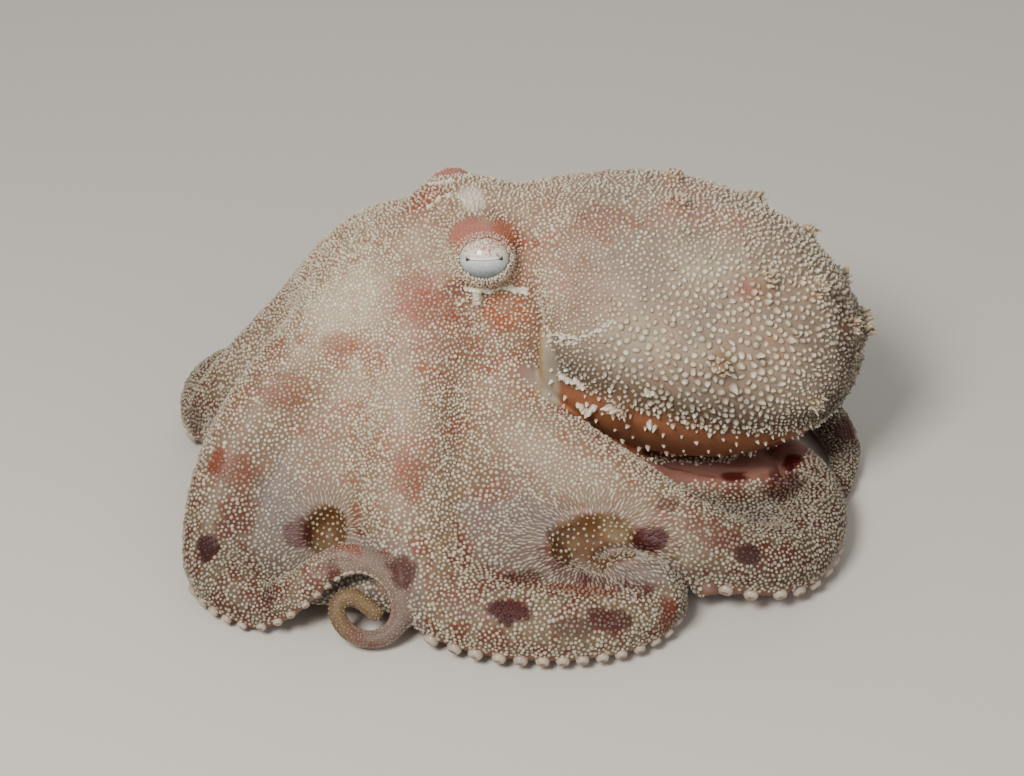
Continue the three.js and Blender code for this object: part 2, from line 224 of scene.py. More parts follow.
def fractal(points, scale, seed=0, octaves=3):
    total = sum(value_noise(points, scale / 2 ** i, seed + i) * 0.55 ** i for i in range(octaves))
    return total / sum(0.55 ** i for i in range(octaves))


# ---- Arms ------------------------------------------------------------------------------------------


def spline(corners, step):
    """A smooth route through corners, as evenly spaced points and their distances."""
    p = np.array(corners, float)
    q = np.vstack([2 * p[0] - p[1], p, 2 * p[-1] - p[-2]])
    route = []
    for p0, p1, p2, p3 in zip(q, q[1:], q[2:], q[3:]):
        t = np.linspace(0, 1, 40, endpoint=False)[:, None]
        bend = (2 * p0 - 5 * p1 + 4 * p2 - p3) * t ** 2 + (3 * p1 - p0 - 3 * p2 + p3) * t ** 3
        route.append(0.5 * (2 * p1 + (p2 - p0) * t + bend))
    route = np.vstack(route + [p[-1:]])
    gone = np.r_[0, np.cumsum(np.linalg.norm(np.diff(route, axis=0), axis=1))]
    count = max(2, int(round(gone[-1] / step)))
    distance = np.linspace(0, gone[-1], count + 1)
    return np.stack([np.interp(distance, gone, route[:, i]) for i in range(2)], 1), distance


def arm_stations(arm, step=1.1):
    """Places, radii, distances and carried frames along an arm's middle."""
    plan, distance = spline(arm["way"], step)
    points = list(np.c_[plan, np.zeros(len(plan))])
    run = distance[-1]
    heading = unit(points[-1] - points[-2])
    axis = turn(np.array([0, 0, 1.0]), heading, math.radians(arm["lean"]))
    distance = list(distance)
    for length, degrees in arm["bends"]:
        count = math.ceil(length / (step * 0.6))
        half = math.radians(degrees) / count / 2
        for _ in range(count):
            heading = turn(heading, axis, half)
            points.append(points[-1] + heading * length / count)
            heading = turn(heading, axis, half)
            distance.append(distance[-1] + length / count)
    points, distance = np.array(points), np.array(distance)
    total = distance[-1]
    radius = arm["radius"] * (1 - (distance / total) ** arm["swell"]) ** arm["taper"] + arm["tip"]
    raised = arm["lift"] * ramp(distance - run + arm["lift_over"], 0, arm["lift_over"])
    root = arm["height"] * np.clip(1 - distance / arm["descent"], 0, 1) ** arm["bell"]
    points[:, 2] += radius - FLOOR_BITE + raised + root
    along = unit(np.gradient(points, axis=0))
    up = np.array([0, 0, 1.0])
    ups = []
    for place, direction in zip(distance, along):
        if place <= run:
            up = np.array([0, 0, 1.0])
        up = unit(up - direction * (up @ direction))
        ups.append(up)
    ups = np.array(ups)
    return dict(points=points, radius=radius, distance=distance, total=total, run=run,
                along=along, up=ups, side=np.cross(along, ups))


def station_at(arm, distance):
    """The arm's place and radius at given distances."""
    place = np.stack([np.interp(distance, arm["distance"], arm["points"][:, i]) for i in range(3)], -1)
    return place, np.interp(distance, arm["distance"], arm["radius"])


arms = {name: arm_stations(ARM_USUAL | arm) for name, arm in ARMS.items()}

# ---- The body as a field of distances ---------------------------------------------------------------


def beside_head(place, sign):
    x, y, z = -place["forward"], sign * place["side"], place["height"]
    c, s = math.cos(math.radians(HEAD_YAW)), math.sin(math.radians(HEAD_YAW))
    return np.array([x * c - y * s, x * s + y * c, z])


EYE_CENTRES = {"eye_left": beside_head(EYE, -1), "eye_right": beside_head(EYE, 1)}
EYE_AXES = {"eye_left": unit([0.04, -0.86, 0.50]), "eye_right": unit([-0.42, 0.80, 0.42])}

box_low, box_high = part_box("eye_left")
SHIFT = (np.array(box_low) + np.array(box_high)) / 2 / MM - EYE_CENTRES["eye_left"]


class Field:
    """Distances to the body's surface on a grid, worked out in windows round each piece."""

    def __init__(self):
        boxes = np.array([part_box(name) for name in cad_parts]) / MM - SHIFT
        self.low = boxes.min((0, 1)) - (2, 2, 3)
        high = boxes.max((0, 1)) + 2
        self.shape = tuple(np.ceil((high - self.low) / VOXEL).astype(int) + 1)
        self.axes = [self.low[i] + VOXEL * np.arange(self.shape[i]) for i in range(3)]

    def blank(self):
        return np.full(self.shape, FAR, np.float32)

    def window(self, low, high):
        """Slices and coordinates for the box from low to high."""
        first = np.clip(np.floor((np.array(low) - self.low) / VOXEL).astype(int), 0, np.array(self.shape) - 1)
        last = np.clip(np.ceil((np.array(high) - self.low) / VOXEL).astype(int) + 1, 1, self.shape)
        cut = tuple(slice(a, b) for a, b in zip(first, last))
        x, y, z = (self.axes[i][cut[i]].astype(np.float32) for i in range(3))
        return cut, x[:, None, None], y[None, :, None], z[None, None, :]


field = Field()


def window_round(centre, reach):
    return field.window(np.array(centre) - reach, np.array(centre) + reach)


def ellipsoid_distance(x, y, z, centre, radii):
    px, py, pz = x - centre[0], y - centre[1], z - centre[2]
    k0 = np.sqrt((px / radii[0]) ** 2 + (py / radii[1]) ** 2 + (pz / radii[2]) ** 2)
    k1 = np.sqrt((px / radii[0] ** 2) ** 2 + (py / radii[1] ** 2) ** 2 + (pz / radii[2] ** 2) ** 2)
    return k0 * (k0 - 1) / np.maximum(k1, 1e-6)


def add_ellipsoid(target, centre, radii, k):
    cut, x, y, z = window_round(centre, max(radii) + MARGIN)
    target[cut] = smooth_min(target[cut], ellipsoid_distance(x, y, z, centre, radii), k)


def cone_distance(x, y, z, a, b, ra, rb):
    """Distance to a round cone from a to b."""
    ab = b - a
    t = ((x - a[0]) * ab[0] + (y - a[1]) * ab[1] + (z - a[2]) * ab[2]) / max(ab @ ab, 1e-9)
    t = np.clip(t, 0, 1)
    dx, dy, dz = x - a[0] - t * ab[0], y - a[1] - t * ab[1], z - a[2] - t * ab[2]
    return np.sqrt(dx * dx + dy * dy + dz * dz) - (ra + (rb - ra) * t)


def cone_window(a, b, reach):
    return field.window(np.minimum(a, b) - reach, np.maximum(a, b) + reach)


def arm_fields():
    """Distances to the lengths of the arms that the web joins, and to their free ends."""
    joined, loose = field.blank(), field.blank()
    for name, arm in arms.items():
        points, radius = arm["points"], arm["radius"] - COAT * 0.8 * ramp(arm["radius"], 0.8, 3.5)
        for i in range(0, len(points) - 1):
            a, b, ra, rb = points[i], points[i + 1], radius[i], radius[i + 1]
            target = joined if arm["distance"][i] < FREE_FROM[name] else loose
            cut, x, y, z = cone_window(a, b, ra + MARGIN)
            target[cut] = np.minimum(target[cut], cone_distance(x, y, z, a, b, ra, rb))
    return joined, loose


def blur(image, sigma):
    reach = int(3 * sigma + 1)
    kernel = np.exp(-0.5 * (np.arange(-reach, reach + 1) / sigma) ** 2)
    kernel /= kernel.sum()
    for axis in (0, 1):
        image = np.apply_along_axis(lambda row: np.convolve(row, kernel, mode="same"), axis, image)
    return image


def edge_distance(mask):
    """Signed distance in mm to the mask's edge, negative inside."""
    padded = np.pad(mask, 1)
    around = padded[:-2, 1:-1] & padded[2:, 1:-1] & padded[1:-1, :-2] & padded[1:-1, 2:]
    edge = np.argwhere(mask & ~around)
    cells = np.argwhere(np.ones_like(mask))
    nearest = np.empty(len(cells))
    for start in range(0, len(cells), 4000):
        block = cells[start:start + 4000]
        gap = ((block[:, None, :] - edge[None, :, :]) ** 2).sum(2)
        nearest[start:start + 4000] = np.sqrt(gap.min(1))
    nearest = nearest.reshape(mask.shape) * VOXEL
    return np.where(mask, -nearest, nearest)


def web_heights():
    """Top of the web over the plan, as a height for each column of the grid, and where there is web."""
    heights = np.full(field.shape[:2], -1.0)
    for web in WEBS:
        share = np.linspace(0, 1, 160)[:, None]
        across = np.linspace(0, 1, 140)[None, :]
        (a, ra), (b, rb) = (station_at(arms[name], (share * reach)[:, 0])
                            for name, reach in zip(web["arms"], web["reach"]))
        place = a[:, None, :] * (1 - across[..., None]) + b[:, None, :] * across[..., None]
        lift = (ra[:, None] * (1 - across) + rb[:, None] * across) * WEB_RISE
        hang = web["sag"] * 4 * across * (1 - across) * ramp(share * 2, 0, 1)
        top = np.maximum(place[..., 2] + lift - hang, WEB_FLOOR + 1.2)
        index = np.round((place[..., :2] - field.low[:2]) / VOXEL).astype(int)
        np.maximum.at(heights, (index[..., 0].ravel(), index[..., 1].ravel()), top.ravel())
    known = (heights > 0).astype(float)
    heights = blur(np.maximum(heights, 0), 1.8 / VOXEL) / np.maximum(blur(known, 1.8 / VOXEL), 1e-3)
    return heights, blur(known, 0.8 / VOXEL) > 0.5


def web_field():
    heights, mask = web_heights()
    slope = np.hypot(*np.gradient(heights, VOXEL))
    steep = 1 / np.sqrt(1 + slope ** 2)
    x, y = np.meshgrid(field.axes[0], field.axes[1], indexing="ij")
    from_mouth = np.hypot(x - MOUTH[0], y - MOUTH[1])
    hollow = WEB_FLOOR + 6.0 * np.exp(-(from_mouth / 19) ** 2)
    side = edge_distance(mask) - 0.2
    z = field.axes[2][None, None, :].astype(np.float32)
    top = (z - (heights - COAT)[..., None]) * steep[..., None]
    target = smooth_max(top, hollow[..., None] - z, 1.0)
    return smooth_max(target, side[..., None] + 0 * z, 1.6).astype(np.float32)


def mantle_field():
    turned = rotation_y(MANTLE["pitch"])
    centre = np.array(MANTLE["centre"])
    radii = np.array(MANTLE["radii"]) - COAT - 0.3
    cut, x, y, z = window_round(centre, max(radii) + MARGIN)
    px, py, pz = x - centre[0], y - centre[1], z - centre[2]
    qx = px * turned[0, 0] + pz * turned[2, 0]
    qz = px * turned[0, 2] + pz * turned[2, 2]
    sac = ellipsoid_distance(qx, py + 0 * px, qz, (0, 0, 0), radii)
    rim = np.hypot(sac + LIP["depth"], x - MANTLE["front"] - LIP["radius"]) - LIP["radius"]
    sac = smooth_max(sac, MANTLE["front"] + 0.9 - x, 1.0)
    sac = smooth_min(sac, rim + 2.5 * ramp(z, 34, 38.5), 0.5)
    target = field.blank()
    target[cut] = sac
    for bearing, rise in PAPILLA_PLACES:
        for side in (-1, 1):
            root, out = mantle_place(side * abs(bearing), rise)
            tip = root + out * PAPILLA["out"]
            cut, x, y, z = cone_window(root, tip, 4.0)
            cone = cone_distance(x, y, z, root - out * PAPILLA["sunk"], tip, *PAPILLA["radii"])
            target[cut] = smooth_min(target[cut], cone, SOFT["papilla"])
    return target


def mantle_place(bearing, rise):
    """A point on the mantle and the way out from it, by bearing round the sac and rise."""
    b, r = math.radians(bearing), math.radians(rise)
    direction = np.array([math.cos(r) * math.cos(b), math.cos(r) * math.sin(b), math.sin(r)])
    radii = np.array(MANTLE["radii"]) - COAT
    turned = rotation_y(MANTLE["pitch"])
    return np.array(MANTLE["centre"]) + turned @ (direction * radii), unit(turned @ (direction / radii))


def head_field():
    target = field.blank()
    for lump in HEAD_LUMPS:
        add_ellipsoid(target, lump["centre"], np.array(lump["radii"]) - COAT, SOFT["skull"])
    for sign in (-1, 1):
        add_ellipsoid(target, beside_head(ORBIT, sign), np.array(ORBIT["radii"]) - COAT, SOFT["orbit"])
    return target


def eye_frame(name):
    """Out, across and up directions of an eye."""
    out = EYE_AXES[name]
    across = unit(np.cross(out, (0, 0, 1)))
    return out, across, np.cross(across, out)


def open_eyes(target):
    """Lids round each eye, and a socket that the eyeball fills."""
    for name, centre in EYE_CENTRES.items():
        out, across, up = eye_frame(name)
        cut, x, y, z = window_round(centre, 9)
        px, py, pz = x - centre[0], y - centre[1], z - centre[2]
        depth = px * out[0] + py * out[1] + pz * out[2]
        wide = px * across[0] + py * across[1] + pz * across[2]
        high = px * up[0] + py * up[1] + pz * up[2]
        opening = np.sqrt((wide / LIDS["width"]) ** 2 + ((high + LIDS["drop"]) / LIDS["height"]) ** 2)
        gap = np.sqrt(px * px + py * py + pz * pz)
        part = smooth_min(target[cut], gap - EYE["radius"] - LIDS["thick"], SOFT["lid"])
        part = smooth_max(part, EYE["radius"] - EYE["socket"] - gap, SOFT["socket"])
        target[cut] = smooth_max(part, -np.maximum((opening - 1) * LIDS["height"], -depth), SOFT["opening"])
    return target


def siphon_field(target):
    a, b = np.array(SIPHON["start"], float), np.array(SIPHON["end"], float)
    cut, x, y, z = cone_window(a, b, 8)
    tube = cone_distance(x, y, z, a, b, *SIPHON["radii"])
    target[cut] = smooth_min(target[cut], tube, SOFT["siphon"])
    return target


def pixels_of(x, y, z):
    """Where the camera sees places of the body, in pixels of IMAGE."""
    e = math.radians(CAMERA["elevation"])
    tx, ty, tz = CAMERA["target"]
    depth = CAMERA["distance"] + (y - ty) * math.cos(e) - (z - tz) * math.sin(e)
    scale = CAMERA["pixels_per_mm_at_target"] * CAMERA["distance"] / depth
    rise = (y - ty) * math.sin(e) + (z - tz) * math.cos(e)
    return IMAGE[0] / 2 + (x - tx) * scale, IMAGE[1] / 2 - rise * scale


def fold_skin(target):
    """Adds the creases and rims of FOLDS to the body's distances."""
    for route, width, depth, box in FOLDS.values():
        cut, x, y, z = field.window(*box)
        u, v = pixels_of(x, y, z)
        away = np.full(u.shape, 1e3)
        for a, b in zip(route, route[1:]):
            du, dv = b[0] - a[0], b[1] - a[1]
            share = np.clip(((u - a[0]) * du + (v - a[1]) * dv) / (du * du + dv * dv), 0, 1)
            away = np.minimum(away, np.hypot(u - a[0] - share * du, v - a[1] - share * dv))
        target[cut] += (depth * np.exp(-(away / width) ** 2)).astype(np.float32)
    return target


def mouth_field(target):
    """A ring of puckered lip round the hole for the beak, in the middle of the arms' underside."""
    column = [int(abs(axis - place).argmin()) for axis, place in zip(field.axes, MOUTH)]
    centre = np.array([*MOUTH, field.axes[2][(target[column[0], column[1]] < 0).argmax()]])
    cut, x, y, z = window_round(centre, 6)
    px, py, pz = x - centre[0], y - centre[1], z - centre[2]
    flat = np.sqrt(px * px + py * py)
    pleat = MOUTH_LIP["pleat_depth"] * np.cos(MOUTH_LIP["pleats"] * np.arctan2(py, px))
    ring = np.sqrt((flat - MOUTH_LIP["radius"]) ** 2 + pz * pz) - MOUTH_LIP["tube"] - pleat
    part = smooth_min(target[cut], ring, SOFT["mouth"])
    hole = ellipsoid_distance(x, y, z, centre + (0, 0, GULLET["height"]), GULLET["radii"])
    target[cut] = smooth_max(part, -hole, 0.3)
    return target


def body_field():
    arm, free_ends = arm_fields()
    body = smooth_min(arm, web_field(), SOFT["web"])
    body = smooth_min(body, free_ends, SOFT["free_end"])
    body = smooth_min(body, head_field(), SOFT["head"])
    body = siphon_field(body)
    for pocket in POCKETS:
        cut, x, y, z = window_round(pocket["centre"], max(pocket["radii"]) + MARGIN)
        hole = ellipsoid_distance(x, y, z, pocket["centre"], pocket["radii"])
        body[cut] = smooth_max(body[cut], -hole, SOFT["pocket"])
    x = field.axes[0][:, None, None]
    z = field.axes[2][None, None, :]
    nape = ramp(z, 32, 40) * within(x, 16, 8)
    body = smooth_min(body, mantle_field(), SOFT["mantle"] + SOFT["nape"] * nape)
    body = open_eyes(mouth_field(fold_skin(body)))
    return smooth_max(body, 0.02 - z + 0 * x, SOFT["floor"])


def connected(count, groups):
    """A label for each of `count` things, the same for all that rows of `groups` join."""
    label = np.arange(count)
    while True:
        lowest = label[groups].min(1)
        fresh = label.copy()
        for corner in range(groups.shape[1]):
            np.minimum.at(fresh, groups[:, corner], lowest)
        fresh = fresh[fresh]
        if (fresh == label).all():
            return label
        label = fresh


def surface(distances):
    """The zero surface as points (mm) and faces, outward-facing, its largest piece only."""
    grid = openvdb.FloatGrid()
    grid.copyFromArray(np.ascontiguousarray(distances, dtype=np.float32))
    points, quads = grid.convertToQuads(0.0)
    points = field.low + points.astype(float) * VOXEL
    label = connected(len(points), quads)
    names, counts = np.unique(label, return_counts=True)
    keep = label == names[counts.argmax()]
    quads = quads[keep[quads[:, 0]]]
    number = np.cumsum(keep) - 1
    points, quads = points[keep], number[quads]
    a, b, c = points[quads[:, 0]], points[quads[:, 1]], points[quads[:, 2]]
    if np.einsum("ij,ij->", a, np.cross(b, c)) < 0:
        quads = quads[:, ::-1]
    return points, quads


# ---- Meshes ----------------------------------------------------------------------------------------


def make_mesh(name, points, faces):
    """A mesh object from points in body millimetres. Faces are an (n, sides) array."""
    mesh = bpy.data.meshes.new(name)
    sides = faces.shape[1]
    mesh.vertices.add(len(points))
    mesh.vertices.foreach_set("co", ((points + SHIFT) * MM).astype(np.float32).ravel())
    mesh.loops.add(faces.size)
    mesh.loops.foreach_set("vertex_index", faces.astype(np.int32).ravel())
    mesh.polygons.add(len(faces))
    mesh.polygons.foreach_set("loop_start", np.arange(0, faces.size, sides, dtype=np.int32))
    mesh.update(calc_edges=True)
    mesh.validate()
    mesh.polygons.foreach_set("use_smooth", np.ones(len(mesh.polygons), bool))
    piece = bpy.data.objects.new(name, mesh)
    bpy.context.scene.collection.objects.link(piece)
    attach(piece, "root")
    return piece


def set_colours(piece, colours):
    """Writes linear colours on the points."""
    layer = piece.data.color_attributes.new("Tint", "FLOAT_COLOR", "POINT")
    rgba = np.c_[colours, np.ones(len(colours))].astype(np.float32)
    layer.data.foreach_set("color", rgba.ravel())


def linear(colour):
    colour = np.asarray(colour, float)
    return np.where(colour <= 0.04045, colour / 12.92, ((colour + 0.055) / 1.055) ** 2.4)


CHART_GAP = 0.8  # mm between charts
CHART_SLACK = 1.12  # how much wider the square is than its charts' area asks for


def unwrap(points, quads):
    """UVs for each quad's corners: charts seen along the six axes, laid in rows on a square."""
    a, b, c, d = (points[quads[:, i]] for i in range(4))
    normal = unit(np.cross(c - a, d - b) + 1e-12)
    for _ in range(8):
        total = np.zeros_like(points)
        for i in range(4):
            np.add.at(total, quads[:, i], normal)
        normal = unit(total[quads].sum(1) + 1e-12)
    facing = np.argmax(np.c_[normal, -normal], axis=1)
    edges = np.sort(np.stack([quads, np.roll(quads, -1, axis=1)], 2).reshape(-1, 2), axis=1)
    owner = np.repeat(np.arange(len(quads)), 4)
    order = np.lexsort((edges[:, 1], edges[:, 0]))
    same = (edges[order[1:]] == edges[order[:-1]]).all(1)
    pairs = np.c_[owner[order[1:]], owner[order[:-1]]][same]
    pairs = pairs[facing[pairs[:, 0]] == facing[pairs[:, 1]]]
    chart = np.unique(connected(len(quads), pairs), return_inverse=True)[1]
    axis = facing % 3
    sides = [((axis + k) % 3)[:, None, None] for k in (1, 2)]
    flat = np.stack([np.take_along_axis(points[quads], side, 2)[..., 0] for side in sides], 2)
    count = chart.max() + 1
    low = np.full((count, 2), np.inf)
    high = np.full((count, 2), -np.inf)
    for i in range(4):
        np.minimum.at(low, chart, flat[:, i])
        np.maximum.at(high, chart, flat[:, i])
    size = high - low + CHART_GAP
    width = math.sqrt((size[:, 0] * size[:, 1]).sum()) * CHART_SLACK
    place = np.zeros((count, 2))
    x = y = row = 0.0
    for k in np.argsort(-size[:, 1]):
        if x + size[k, 0] > width and x > 0:
            x, y, row = 0.0, y + row, 0.0
        place[k] = x, y
        x, row = x + size[k, 0], max(row, size[k, 1])
    extent = max(width, y + row, size[:, 0].max())
    return (flat - low[chart][:, None] + place[chart][:, None] + CHART_GAP / 2) / extent


# ---- Camera and light ------------------------------------------------------------------------------

def make_camera():
    e = math.radians(CAMERA["elevation"])
    back = np.array([0, -math.cos(e), math.sin(e)])
    place = (np.array(CAMERA["target"]) + back * CAMERA["distance"] + SHIFT) * MM
    data = bpy.data.cameras.new("camera")
    camera = bpy.data.objects.new("camera", data)
    bpy.context.scene.collection.objects.link(camera)
    camera.location = place
    camera.rotation_euler = (math.pi / 2 - e, 0, 0)
    data.sensor_width = 36
    data.lens = CAMERA["pixels_per_mm_at_target"] * CAMERA["distance"] * data.sensor_width / IMAGE[0]
    data.clip_start, data.clip_end = 0.01, 10
    bpy.context.scene.camera = camera
    return place / MM - SHIFT


def make_light(name, towards, distance, size, power, colour):
    """A soft square lamp that looks at the middle of the body."""
    data = bpy.data.lights.new(name, "AREA")
    data.size, data.energy, data.color = size, power, colour
    lamp = bpy.data.objects.new(name, data)
    direction = Vector(towards).normalized()
    lamp.location = direction * distance + Vector((0, 0, LAMP_AIM))
    lamp.rotation_euler = (-direction).to_track_quat("-Z", "Y").to_euler()
    bpy.context.scene.collection.objects.link(lamp)


def make_studio():
    for name, lamp in LAMPS.items():
        make_light(name, *lamp)
    world = bpy.data.worlds.new("studio")
    world.use_nodes = True
    world.node_tree.nodes["Background"].inputs["Color"].default_value = SKY["colour"]
    world.node_tree.nodes["Background"].inputs["Strength"].default_value = SKY["strength"]
    bpy.context.scene.world = world
    bpy.ops.mesh.primitive_plane_add(size=FLOOR["size"], location=(0, 0, FLOOR["level"]))
    floor = bpy.context.object
    floor.name = "floor"
    material = bpy.data.materials.new("pale_floor")
    material.use_nodes = True
    shader = material.node_tree.nodes["Principled BSDF"]
    shader.inputs["Base Color"].default_value = FLOOR["colour"]
    shader.inputs["Roughness"].default_value = FLOOR["roughness"]
    floor.data.materials.append(material)


CAMERA_PLACE = make_camera()
make_studio()

# ---- Skin ------------------------------------------------------------------------------------------

skin_points, skin_quads = surface(body_field())
skin_uv = unwrap(skin_points, skin_quads)
corners = skin_points[skin_quads]
face_normals = np.cross(corners[:, 2] - corners[:, 0], corners[:, 3] - corners[:, 1])
face_areas = np.linalg.norm(face_normals, axis=1) / 2
skin_normals = np.zeros_like(skin_points)
for corner in range(4):
    np.add.at(skin_normals, skin_quads[:, corner], face_normals)
skin_normals = unit(skin_normals + 1e-12)
tree = BVHTree.FromPolygons([Vector(p) for p in skin_points], skin_quads.tolist())
print("skin", len(skin_points), len(skin_quads))

# ---- Where a point of the body lies ----------------------------------------------------------------

arm_names = list(arms)
station_points = np.vstack([arms[name]["points"] for name in arm_names])
station_arm = np.concatenate([[i] * len(arms[name]["points"]) for i, name in enumerate(arm_names)])
station_distance = np.concatenate([arms[name]["distance"] for name in arm_names])
station_radius = np.concatenate([arms[name]["radius"] for name in arm_names])
station_up = np.vstack([arms[name]["up"] for name in arm_names])
station_free = np.array([FREE_FROM[arm_names[i]] for i in station_arm])


def sac_place(points):
    """Distance out from the mantle's sac and height in it, in radii."""
    turned = (points - np.array(MANTLE["centre"])) @ rotation_y(MANTLE["pitch"])
    distance = ellipsoid_distance(*turned.T, (0, 0, 0), np.array(MANTLE["radii"]) - COAT)
    return distance, turned[:, 2] / MANTLE["radii"][2], turned[:, 0] / MANTLE["radii"][0]


def nearest_station(points):
    nearest = np.empty(len(points), int)
    for start in range(0, len(points), 8000):
        block = points[start:start + 8000]
        gap = (block ** 2).sum(1)[:, None] - 2 * block @ station_points.T + (station_points ** 2).sum(1)
        nearest[start:start + 8000] = (gap / (station_radius + 3) ** 0.5).argmin(1)
    return nearest


class Places:
    """The region that each point lies in, as weights from 0 to 1."""

    def __init__(self, points, normals):
        self.points = points
        self.sac, self.rise, self.back = sac_place(points)
        self.find_body()
        self.find_arms(normals)
        self.find_hollows()
        self.find_lip()
        self.find_mouth()

    def find_body(self):
        """The mantle and the head, which meet in a ragged line over the nape."""
        points = self.points
        lumps = [(lump["centre"], lump["radii"]) for lump in (HEAD_LUMPS[0], HEAD_LUMPS[3])]
        lumps += [(beside_head(ORBIT, sign), ORBIT["radii"]) for sign in (-1, 1)]
        head = np.min([ellipsoid_distance(*points.T, c, np.array(r) - COAT) for c, r in lumps], axis=0)
        wander = (3.5 * value_noise(points, 3.2, 33) - 2.5) * ramp(points[:, 2], 36, 41)
        edge = points[:, 0] - MANTLE["front"] + wander
        self.mantle = within(np.abs(self.sac), 1.6, 0.9) * ramp(edge, 0, 2.5)
        self.head = within(head, 3.0, 2.2) * ramp(points[:, 2], 26, 32) * (1 - self.mantle)

    def find_arms(self, normals):
        """The arms, their free ends, the left front arm's coil and its tip, and what faces the floor."""
        points = self.points
        station = nearest_station(points)
        distance = station_distance[station]
        out = points - station_points[station]
        off_axis = np.linalg.norm(out, axis=1) / station_radius[station]
        above = (unit(out) * station_up[station]).sum(1)
        self.on_arm = within(off_axis, 1.45, 0.3) * (1 - self.mantle) * (1 - self.head)
        self.free = (distance > station_free[station]) * self.on_arm
        coil, end = arms["L1"]["run"] - 4, arms["L1"]["total"] - 11
        on_coil = (station_arm[station] == arm_names.index("L1")) * self.on_arm
        self.coil = on_coil * ramp(distance, coil - 4, coil + 5)
        self.coil_tip = on_coil * ramp(distance, end - 4, end + 3)
        under = ramp(-normals[:, 2], 0.25, 0.6) * (1 - self.mantle) * within(points[:, 2], 26, 4)
        self.under = np.maximum(under, self.on_arm * ramp(-above, 0.15, 0.5))

    def find_hollows(self):
        """The ground under the mantle, and the pockets with their rims."""
        points = self.points
        plan = np.hypot((points[:, 0] - 25) / 23, points[:, 1] / 17)
        self.sheltered = within(plan, 1.15, 0.25) * within(points[:, 2], 20, 3) * (1 - self.mantle)
        pockets = [np.linalg.norm((points - p["centre"]) / p["radii"], axis=1) for p in POCKETS]
        nearest = np.min(pockets, axis=0)
        self.pocket = within(nearest, 1.22, 0.16)
        self.pocket_rim = within(nearest, 1.42, 0.12) * (1 - self.pocket)

    def find_lip(self):
        """The smooth rim of the mantle's opening and its edge."""
        points = self.points
        behind_lip = points[:, 0] - MANTLE["front"]
        low = within(points[:, 2], 36.5, 7)
        smooth = within(behind_lip, 0.6 + 2.8 * low, 0.9) * ramp(behind_lip, -1.2, -0.4)
        self.lip = smooth * within(np.abs(self.sac + 0.4), 1.7, 0.5) * within(points[:, 2], 37, 2)
        self.lip_edge = self.lip * within(behind_lip, 0.75, 0.5)

    def find_mouth(self):
        """The mouth in the middle of the underside, and the siphon."""
        points = self.points
        from_mouth = np.hypot(points[:, 0] - MOUTH[0], points[:, 1] - MOUTH[1])
        self.under = np.maximum(self.under, within(from_mouth, 18, 3) * within(points[:, 2], 14, 2))
        self.mouth = within(from_mouth, 3.9, 0.8) * within(points[:, 2], 14, 1)
        self.gullet = within(from_mouth, 1.7, 0.4) * self.mouth
        a, b = np.array(SIPHON["start"], float), np.array(SIPHON["end"], float)
        tube = cone_distance(*points.T, a, b, *SIPHON["radii"])
        self.siphon = within(tube, 0.8, 0.6) * (1 - self.mantle)


# ---- Colours and markings ----------------------------------------------------------------------------

CREAM_TAN = linear((0.57, 0.48, 0.37))
CREAM, WHITE = linear((0.83, 0.80, 0.69)), linear((0.93, 0.91, 0.85))
PALE_PINK, TAN_PINK = linear((0.62, 0.53, 0.45)), linear((0.50, 0.37, 0.28))
RUST, ORANGE = linear((0.54, 0.22, 0.14)), linear((0.66, 0.34, 0.20))
MAROON, PURPLE = linear((0.32, 0.02, 0.0)), linear((0.38, 0.08, 0.12))
ORANGE_BROWN, BROWN = linear((0.60, 0.39, 0.27)), linear((0.31, 0.18, 0.12))
LAVENDER, OCHRE = linear((0.53, 0.45, 0.44)), linear((0.49, 0.33, 0.19))
GREY_LIP, SOFT_PINK = linear((0.64, 0.60, 0.53)), linear((0.67, 0.41, 0.36))
MANTLE_GREY, DIM_BROWN = linear((0.54, 0.47, 0.41)), linear((0.36, 0.28, 0.21))
GOLD, WART_TAN = linear((0.68, 0.54, 0.34)), linear((0.46, 0.31, 0.19))
HEAD_BROWN, SHELTER_PINK = linear((0.50, 0.29, 0.21)), linear((0.64, 0.45, 0.40))
COIL_GREY, TIP_TAN = linear((0.58, 0.49, 0.45)), linear((0.55, 0.44, 0.30))
SPOKE_DARK, SPOKE_PALE = linear((0.50, 0.33, 0.26)), linear((0.66, 0.55, 0.49))
MOUND_TAN, RIM_GREY = linear((0.62, 0.52, 0.39)), linear((0.66, 0.55, 0.50))
HOOD_RUST, HOOD_GREY = linear((0.56, 0.35, 0.22)), linear((0.56, 0.50, 0.46))
MOUTH_PINK = linear((0.66, 0.47, 0.40))
EYE_WHITE, EYE_RUST = linear((0.86, 0.83, 0.76)), linear((0.62, 0.34, 0.26))
# The second of these is a painted shade, darkening the bottom of the eyeball.
EYE_SILVER, EYE_SHADE_GREY = linear((0.76, 0.79, 0.79)), linear((0.40, 0.44, 0.45))
EYE_GREEN = linear((0.62, 0.74, 0.64))
EYE_GLINT, EYE_BLACK = np.array([0.9, 0.92, 0.93]), np.array([0.006, 0.006, 0.006])
CUP_CREAM, CUP_TAN = linear((0.64, 0.60, 0.54)), linear((0.56, 0.40, 0.32))

